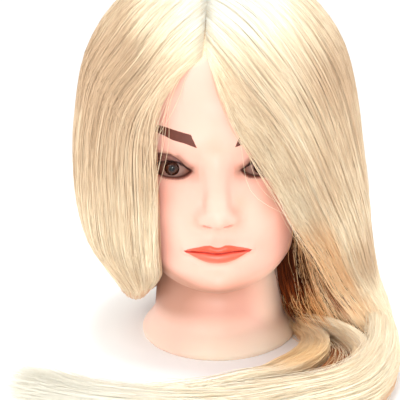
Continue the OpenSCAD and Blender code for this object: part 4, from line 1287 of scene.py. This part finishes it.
class Nodes:
    """A small helper to write node graphs briefly."""

    def __init__(self, name):
        self.mat = bpy.data.materials.new(name)
        self.mat.use_nodes = True
        self.t = self.mat.node_tree
        self.bsdf = self.t.nodes["Principled BSDF"]

    def new(self, kind, **props):
        n = self.t.nodes.new("ShaderNode" + kind)
        for k, v in props.items():
            setattr(n, k, v)
        return n

    def link(self, a, b):
        self.t.links.new(a, b)

    def attr(self, name):
        n = self.new("Attribute", attribute_name=name)
        return n.outputs["Fac"]

    def coords(self):
        return self.new("TexCoord").outputs["Object"]

    def mapped(self, scale, vec=None):
        n = self.new("Mapping")
        n.inputs["Scale"].default_value = scale
        self.link(vec or self.coords(), n.inputs["Vector"])
        return n.outputs["Vector"]

    def noise(self, scale, detail=3.0, rough=0.5, vec=None, distort=0.0):
        n = self.new("TexNoise")
        n.inputs["Scale"].default_value = scale
        n.inputs["Detail"].default_value = detail
        n.inputs["Roughness"].default_value = rough
        n.inputs["Distortion"].default_value = distort
        self.link(vec or self.coords(), n.inputs["Vector"])
        return n.outputs["Fac"]

    def remap(self, v, a, b, c=0.0, d=1.0, kind="SMOOTHSTEP"):
        n = self.new("MapRange", interpolation_type=kind)
        for k, val in zip(("From Min", "From Max", "To Min", "To Max"), (a, b, c, d)):
            n.inputs[k].default_value = val
        self.link(v, n.inputs["Value"])
        return n.outputs["Result"]

    def math(self, op, a, b=None, c=None):
        n = self.new("Math", operation=op)
        for i, v in enumerate((a, b, c)):
            if v is None:
                continue
            if isinstance(v, (int, float)):
                n.inputs[i].default_value = v
            else:
                self.link(v, n.inputs[i])
        return n.outputs[0]

    def mix(self, fac, a, b, mode="MIX"):
        n = self.new("Mix", data_type="RGBA", blend_type=mode)
        n.clamp_factor = True
        for key, v in (("Factor", fac), ("A", a), ("B", b)):
            s = [i for i in n.inputs if i.name == key and (key == "Factor" and i.type == "VALUE" or key != "Factor" and i.type == "RGBA")][0]
            if isinstance(v, (int, float)):
                s.default_value = v
            elif isinstance(v, tuple):
                s.default_value = v
            else:
                self.link(v, s)
        return [o for o in n.outputs if o.type == "RGBA"][0]

    def ramp(self, fac, stops):
        n = self.new("ValToRGB")
        r = n.color_ramp
        while len(r.elements) < len(stops):
            r.elements.new(0.5)
        for e, (p, c) in zip(r.elements, stops):
            e.position = p
            e.color = c
        self.link(fac, n.inputs["Fac"])
        return n.outputs["Color"]

    def bump(self, height, strength, dist=0.001):
        n = self.new("Bump")
        n.inputs["Strength"].default_value = strength
        n.inputs["Distance"].default_value = dist
        self.link(height, n.inputs["Height"])
        self.link(n.outputs["Normal"], self.bsdf.inputs["Normal"])

    def put(self, **vals):
        for k, v in vals.items():
            s = self.bsdf.inputs[k.replace("_", " ")]
            if isinstance(v, (int, float, tuple)):
                s.default_value = v
            else:
                self.link(v, s)
        return self.mat


def skin_material():
    g = Nodes("soft_vinyl_skin")
    broad = g.noise(26.0, 2.0)
    fine = g.noise(900.0, 2.0, 0.6)
    col = g.mix(g.remap(broad, 0.3, 0.7), lin(240, 185, 168), lin(236, 177, 160))
    # painted shade on the neck under the chin
    col = g.mix(g.math("MULTIPLY", g.attr("neck"), 0.96), col, lin(178, 128, 106))
    # painted light round the foot and the +x side of the neck
    col = g.mix(g.math("MULTIPLY", g.attr("rim"), 0.9), col, lin(254, 232, 210))
    # cheek blush, with painted shade on the +x cheek and the nose's +x side, and pink tints on the forehead and chin
    col = g.mix(g.math("MULTIPLY", g.attr("blush_and_shade"), 0.62), col, lin(244, 160, 134))
    # hair roots darken the skin above the hairline
    roots = g.noise(1500.0, 1.0, 0.5)
    sc = g.remap(g.attr("scalp"), -2.0, 5.0)
    col = g.mix(g.math("MULTIPLY", sc, 0.92), col, g.mix(g.remap(roots, 0.42, 0.58), lin(236, 206, 164), lin(252, 232, 202)))
    # painted make-up and painted shade round the eyes, with the painted shadow of the hair on the cheek and painted
    # shade under the nose, then the painted lid with painted shade in its corners, the crease and the lid lines
    col = g.mix(g.math("MULTIPLY", g.attr("eye_paint_and_shade"), 0.8), col, lin(202, 148, 126))
    streak = g.remap(g.noise(1.0, 2.0, 0.6, g.mapped((160.0, 160.0, 900.0))), 0.35, 0.65, 0.82, 1.0)
    col = g.mix(g.math("MULTIPLY", g.attr("eye_shade"), streak), col, lin(100, 50, 38))
    wob = g.math("MULTIPLY", g.math("SUBTRACT", g.noise(520.0, 2.0), 0.5), 0.5)
    cr = g.remap(g.math("ADD", g.attr("crease"), wob), 0.2, 1.7, 0.85, 0.0)
    col = g.mix(cr, col, lin(96, 52, 48))
    lu = g.remap(g.math("ADD", g.attr("lid_up"), wob), 0.35, 1.25, 1.0, 0.0)
    col = g.mix(lu, col, lin(52, 26, 25))
    ll = g.remap(g.math("ADD", g.attr("lid_low"), wob), 0.2, 2.0, 0.9, 0.0)
    col = g.mix(ll, col, lin(128, 66, 52))
    # brows: a flat stencilled tone with a little wear at the edge
    worn = g.math("MULTIPLY", g.math("SUBTRACT", g.noise(1100.0, 2.0), 0.5), 0.55)
    br = g.remap(g.math("ADD", g.attr("brow"), worn), -0.22, 0.30)
    col = g.mix(br, col, g.mix(g.noise(240.0, 3.0), lin(84, 34, 20), lin(104, 48, 32)))
    # lips
    lp = g.remap(g.math("ADD", g.attr("lip"), g.math("MULTIPLY", worn, 0.6)), -0.25, 0.35)
    m = g.attr("mouth")
    lipc = g.mix(g.remap(m, -1.5, 3.5), lin(240, 103, 82), lin(232, 84, 57))
    lipc = g.mix(g.remap(m, -5.5, -8.5), lipc, lin(246, 128, 108))
    line = g.remap(g.math("ABSOLUTE", m), 0.25, 1.35, 1.0, 0.0)
    lipc = g.mix(g.math("MULTIPLY", line, 0.9), lipc, lin(176, 34, 20))
    col = g.mix(lp, col, lipc)
    rough = g.remap(g.noise(60.0, 3.0), 0.3, 0.7, 0.40, 0.50)
    rough = g.math("SUBTRACT", rough, g.math("MULTIPLY", lp, 0.12))
    g.bump(g.math("ADD", fine, g.math("MULTIPLY", g.noise(160.0, 2.0), 0.6)), 0.10, 0.0004)
    g.put(Base_Color=col, Roughness=rough, IOR=1.45, Subsurface_Weight=0.25, Subsurface_Scale=0.006)
    g.bsdf.inputs["Subsurface Radius"].default_value = (1.0, 0.62, 0.46)
    return g.mat


def hair_material(name, under=False, gloss=1.45):
    g = Nodes(name)
    along = g.attr("along")
    tone = g.attr("tone")
    deep = g.attr("deep")
    if under:
        uv = g.new("UVMap", uv_map="flow").outputs["UV"]
        fine = g.noise(1.0, 3.0, 0.6, g.mapped((420.0, 5.0, 1.0), uv))
        wide = g.noise(1.0, 2.0, 0.5, g.mapped((90.0, 3.0, 1.0), uv))
        strand = g.math("ADD", g.math("MULTIPLY", fine, 0.8), g.math("MULTIPLY", wide, 0.25))
        tone = g.math("ADD", tone, strand)
        g.bump(g.math("ADD", fine, g.math("MULTIPLY", wide, 0.7)), 0.8, 0.0012)
    else:
        patch = g.noise(34.0, 2.0)
        tone = g.math("ADD", tone, g.math("MULTIPLY", g.math("SUBTRACT", patch, 0.5), 0.30))
        glint = g.noise(1.0, 2.0, 0.5, g.mapped((400.0, 400.0, 60.0)))
        tone = g.math("ADD", tone, g.math("MULTIPLY", g.math("SUBTRACT", glint, 0.5), 0.12))
    # tone carries each strand's own paleness and the painted highlight and shade of the hair
    col = g.ramp(tone, [(0.0, lin(208, 178, 144)), (0.25, lin(232, 210, 177)), (0.5, lin(247, 231, 202)),
                        (0.8, lin(254, 244, 218)), (1.0, lin(255, 252, 240))])
    # a golden tint painted where the hair lies in shade
    col = g.mix(g.math("MULTIPLY", g.attr("warm_shade"), 0.85), col, g.mix(tone, lin(248, 178, 104), lin(255, 218, 156)))
    # painted red-brown shade deep inside, paler towards the tips
    col = g.mix(g.remap(deep, 0.30, 0.75, 0.0, 0.70), col, lin(230, 164, 106))
    dark = g.mix(g.remap(tone, 0.45, 0.85), lin(44, 4, 2), lin(152, 70, 28))
    col = g.mix(g.remap(deep, 0.68, 1.0, 0.0, 0.98), col, dark)
    col = g.mix(g.remap(along, 0.84, 1.0, 0.0, 0.80), col, lin(255, 251, 236))
    g.put(Base_Color=col, Roughness=0.32, IOR=gloss)
    return g.mat


def eye_material():
    """Creamy acrylic, darkened all over and brown towards the lids and corners as painted shade."""
    g = Nodes("eye_acrylic")
    sep = g.new("SeparateXYZ")
    g.link(g.coords(), sep.inputs[0])
    dx = g.math("SUBTRACT", g.math("ABSOLUTE", sep.outputs["X"]), 0.033)
    vein = g.noise(260.0, 5.0, 0.65, distort=1.4)
    col = g.mix(g.remap(g.noise(90.0, 2.0), 0.3, 0.7), lin(150, 114, 103), lin(132, 96, 83))
    col = g.mix(g.remap(vein, 0.60, 0.72, 0.0, 0.35), col, lin(176, 110, 100))
    # painted shade towards the inner and outer corners and under the upper lid
    col = g.mix(g.remap(dx, -0.0075, -0.0120, 0.0, 0.9), col, lin(150, 96, 78))
    col = g.mix(g.remap(dx, 0.0050, 0.0085, 0.0, 0.95), col, lin(104, 60, 46))
    col = g.mix(g.remap(sep.outputs["Z"], 0.1695, 0.1735, 0.0, 0.9), col, lin(104, 60, 48))
    g.put(Base_Color=col, Roughness=0.25, IOR=1.4)
    return g.mat


def iris_material():
    g = Nodes("iris_brown")
    sep = g.new("SeparateXYZ")
    g.link(g.coords(), sep.inputs[0])
    dx = g.math("SUBTRACT", g.math("ABSOLUTE", sep.outputs["X"]), 0.033)
    dz = g.math("SUBTRACT", sep.outputs["Z"], 0.1675)
    r = g.math("SQRT", g.math("ADD", g.math("MULTIPLY", dx, dx), g.math("MULTIPLY", dz, dz)))
    ang = g.math("ARCTAN2", dz, dx)
    v = g.new("CombineXYZ")
    g.link(g.math("MULTIPLY", ang, 9.0), v.inputs[0])
    g.link(g.math("MULTIPLY", r, 260.0), v.inputs[1])
    fib = g.noise(2.2, 4.0, 0.6, v.outputs[0], 0.4)
    col = g.mix(g.remap(fib, 0.35, 0.65), lin(50, 21, 12), lin(102, 52, 31))
    col = g.mix(g.remap(r, 0.0038, 0.0053), col, lin(24, 12, 10))
    col = g.mix(g.remap(r, 0.0017, 0.0023, 1.0, 0.0), col, lin(10, 6, 6))
    g.put(Base_Color=col, Roughness=0.5, Specular_IOR_Level=0.0)
    return g.mat


def cornea_material():
    g = Nodes("cornea_clear")
    g.put(Base_Color=(1, 1, 1, 1), Roughness=0.02, IOR=1.45, Transmission_Weight=1.0)
    g.bump(g.noise(60.0, 1.0), 0.004, 0.0001)
    return g.mat


def lash_material():
    g = Nodes("lash_fibre")
    g.put(Base_Color=g.mix(g.attr("tone"), lin(54, 26, 19), lin(92, 52, 40)), Roughness=0.45)
    return g.mat


def plastic(name, c1, c2, rough, grain=700.0, strength=0.12):
    g = Nodes(name)
    g.bump(g.noise(grain, 3.0), strength, 0.0004)
    r = g.remap(g.noise(55.0, 3.0), 0.3, 0.7, rough - 0.06, rough + 0.08)
    g.put(Base_Color=g.mix(g.noise(38.0, 4.0), c1, c2), Roughness=r)
    return g.mat


def foam_material():
    g = Nodes("rigid_foam")
    v = g.new("TexVoronoi", feature="DISTANCE_TO_EDGE")
    v.inputs["Scale"].default_value = 420.0
    g.link(g.coords(), v.inputs["Vector"])
    cell = g.remap(v.outputs["Distance"], 0.02, 0.3)
    g.bump(cell, 0.5, 0.0006)
    g.put(Base_Color=g.mix(cell, lin(214, 190, 140), lin(240, 224, 184)), Roughness=0.85)
    return g.mat


def steel_material():
    g = Nodes("screw_steel")
    brush = g.noise(1.0, 3.0, 0.6, g.mapped((900.0, 900.0, 4000.0)))
    g.bump(brush, 0.15, 0.0002)
    g.put(Base_Color=g.mix(brush, lin(168, 170, 174), lin(206, 208, 210)), Metallic=1.0,
          Roughness=g.remap(brush, 0.3, 0.7, 0.28, 0.42))
    return g.mat


def paint_node(name, mat):
    ob = frame["nodes"][name]
    if len(ob.material_slots) == 0:
        ob.data.materials.append(mat)
    for s in ob.material_slots:
        s.material = mat


MATS = {
    "skin": skin_material(), "hair": hair_material("blond_hair"), "under": hair_material("blond_hair_under", True),
    "shade": hair_material("blond_hair_shaded", False, 1.03), "under_shade": hair_material("blond_hair_shaded_under", True, 1.03),
    "eye": eye_material(), "iris": iris_material(), "cornea": cornea_material(), "lash": lash_material(),
    "plug": plastic("plug_abs", lin(226, 219, 206), lin(214, 206, 192), 0.5),
    "socket": plastic("socket_nylon", lin(206, 205, 200), lin(192, 191, 187), 0.42, 1100.0, 0.08),
    "foam": foam_material(), "steel": steel_material(),
}


for n in ("eye_right", "eye_left"):
    paint_node(n, MATS["eye"])
for n in ("iris_right", "iris_left"):
    paint_node(n, MATS["iris"])
paint_node("neck_plug", MATS["plug"])
paint_node("clamp_socket", MATS["socket"])
paint_node("foam_core", MATS["foam"])
paint_node("socket_screws", MATS["steel"])
head.data.materials.append(MATS["skin"])
for ob in list(scene.objects):
    if ob.name in ("hair_under_jaw", "hair_under_hollow"):
        ob.data.materials.append(MATS["under_shade"])
    elif ob.name.startswith(("hair_inner", "hair_hollow")):
        ob.data.materials.append(MATS["shade"])
    elif ob.name.startswith("hair_under"):
        ob.data.materials.append(MATS["under"])
    elif ob.name.startswith("hair_") and ob.type == "MESH" and "OFBake" in ob.data.uv_layers:
        ob.data.materials.append(MATS["hair"])
    elif ob.name.startswith("cornea_dome"):
        ob.data.materials.append(MATS["cornea"])
    elif ob.name.startswith("lash_hairs"):
        ob.data.materials.append(MATS["lash"])


# ---------------------------------------------------------------------------
# pale studio: large soft lights, a pale floor, white surroundings
# ---------------------------------------------------------------------------
world = bpy.data.worlds.new("studio")
scene.world = world
world.use_nodes = True
world.node_tree.nodes["Background"].inputs[0].default_value = (1.0, 1.0, 1.0, 1.0)
world.node_tree.nodes["Background"].inputs[1].default_value = 1.04


def softbox(name, at, target, size, power, colour=(1, 1, 1), spread=180):
    from mathutils import Vector
    light = bpy.data.lights.new(name, "AREA")
    light.energy = power
    light.color = colour
    light.shape = "RECTANGLE"
    light.size, light.size_y = size if isinstance(size, tuple) else (size, size)
    light.spread = math.radians(spread)
    ob = bpy.data.objects.new(name, light)
    ob.location = at
    ob.rotation_euler = (Vector(target) - Vector(at)).to_track_quat("-Z", "Y").to_euler()
    scene.collection.objects.link(ob)
    return ob


softbox("key", (-0.75, -1.15, 0.95), (0.0, 0.0, 0.15), 0.7, 3.2, (1.0, 0.99, 0.97))
softbox("front", (-0.05, -1.42, 0.072), (-0.03, -0.08, 0.1675), (0.28, 0.14), 7.5)
softbox("low", (0.05, -1.0, 0.05), (0.03, -0.09, 0.0), 0.12, 0.005, spread=8)
softbox("top", (0.0, -0.02, 1.5), (0.0, -0.02, 0.2), 0.5, 0.52, spread=30)
softbox("side", (1.35, -0.6, 0.45), (0.05, 0.0, 0.08), 0.7, 5.5)
softbox("side2", (-1.35, -0.5, 0.35), (0.0, 0.0, 0.08), 0.7, 3.8)
scene.view_settings.view_transform = "Standard"
scene.view_settings.look = "None"

n = 2
floor_mesh = bpy.data.meshes.new("floor")
floor_mesh.from_pydata([(-20, -20, 0), (20, -20, 0), (20, 20, 0), (-20, 20, 0)], [], [(0, 1, 2, 3)])
floor = bpy.data.objects.new("floor", floor_mesh)
scene.collection.objects.link(floor)
g = Nodes("studio_floor")
g.put(Base_Color=g.mix(g.noise(3.0, 2.0), lin(254, 254, 254), lin(251, 251, 251)), Roughness=0.75)
floor.data.materials.append(g.mat)
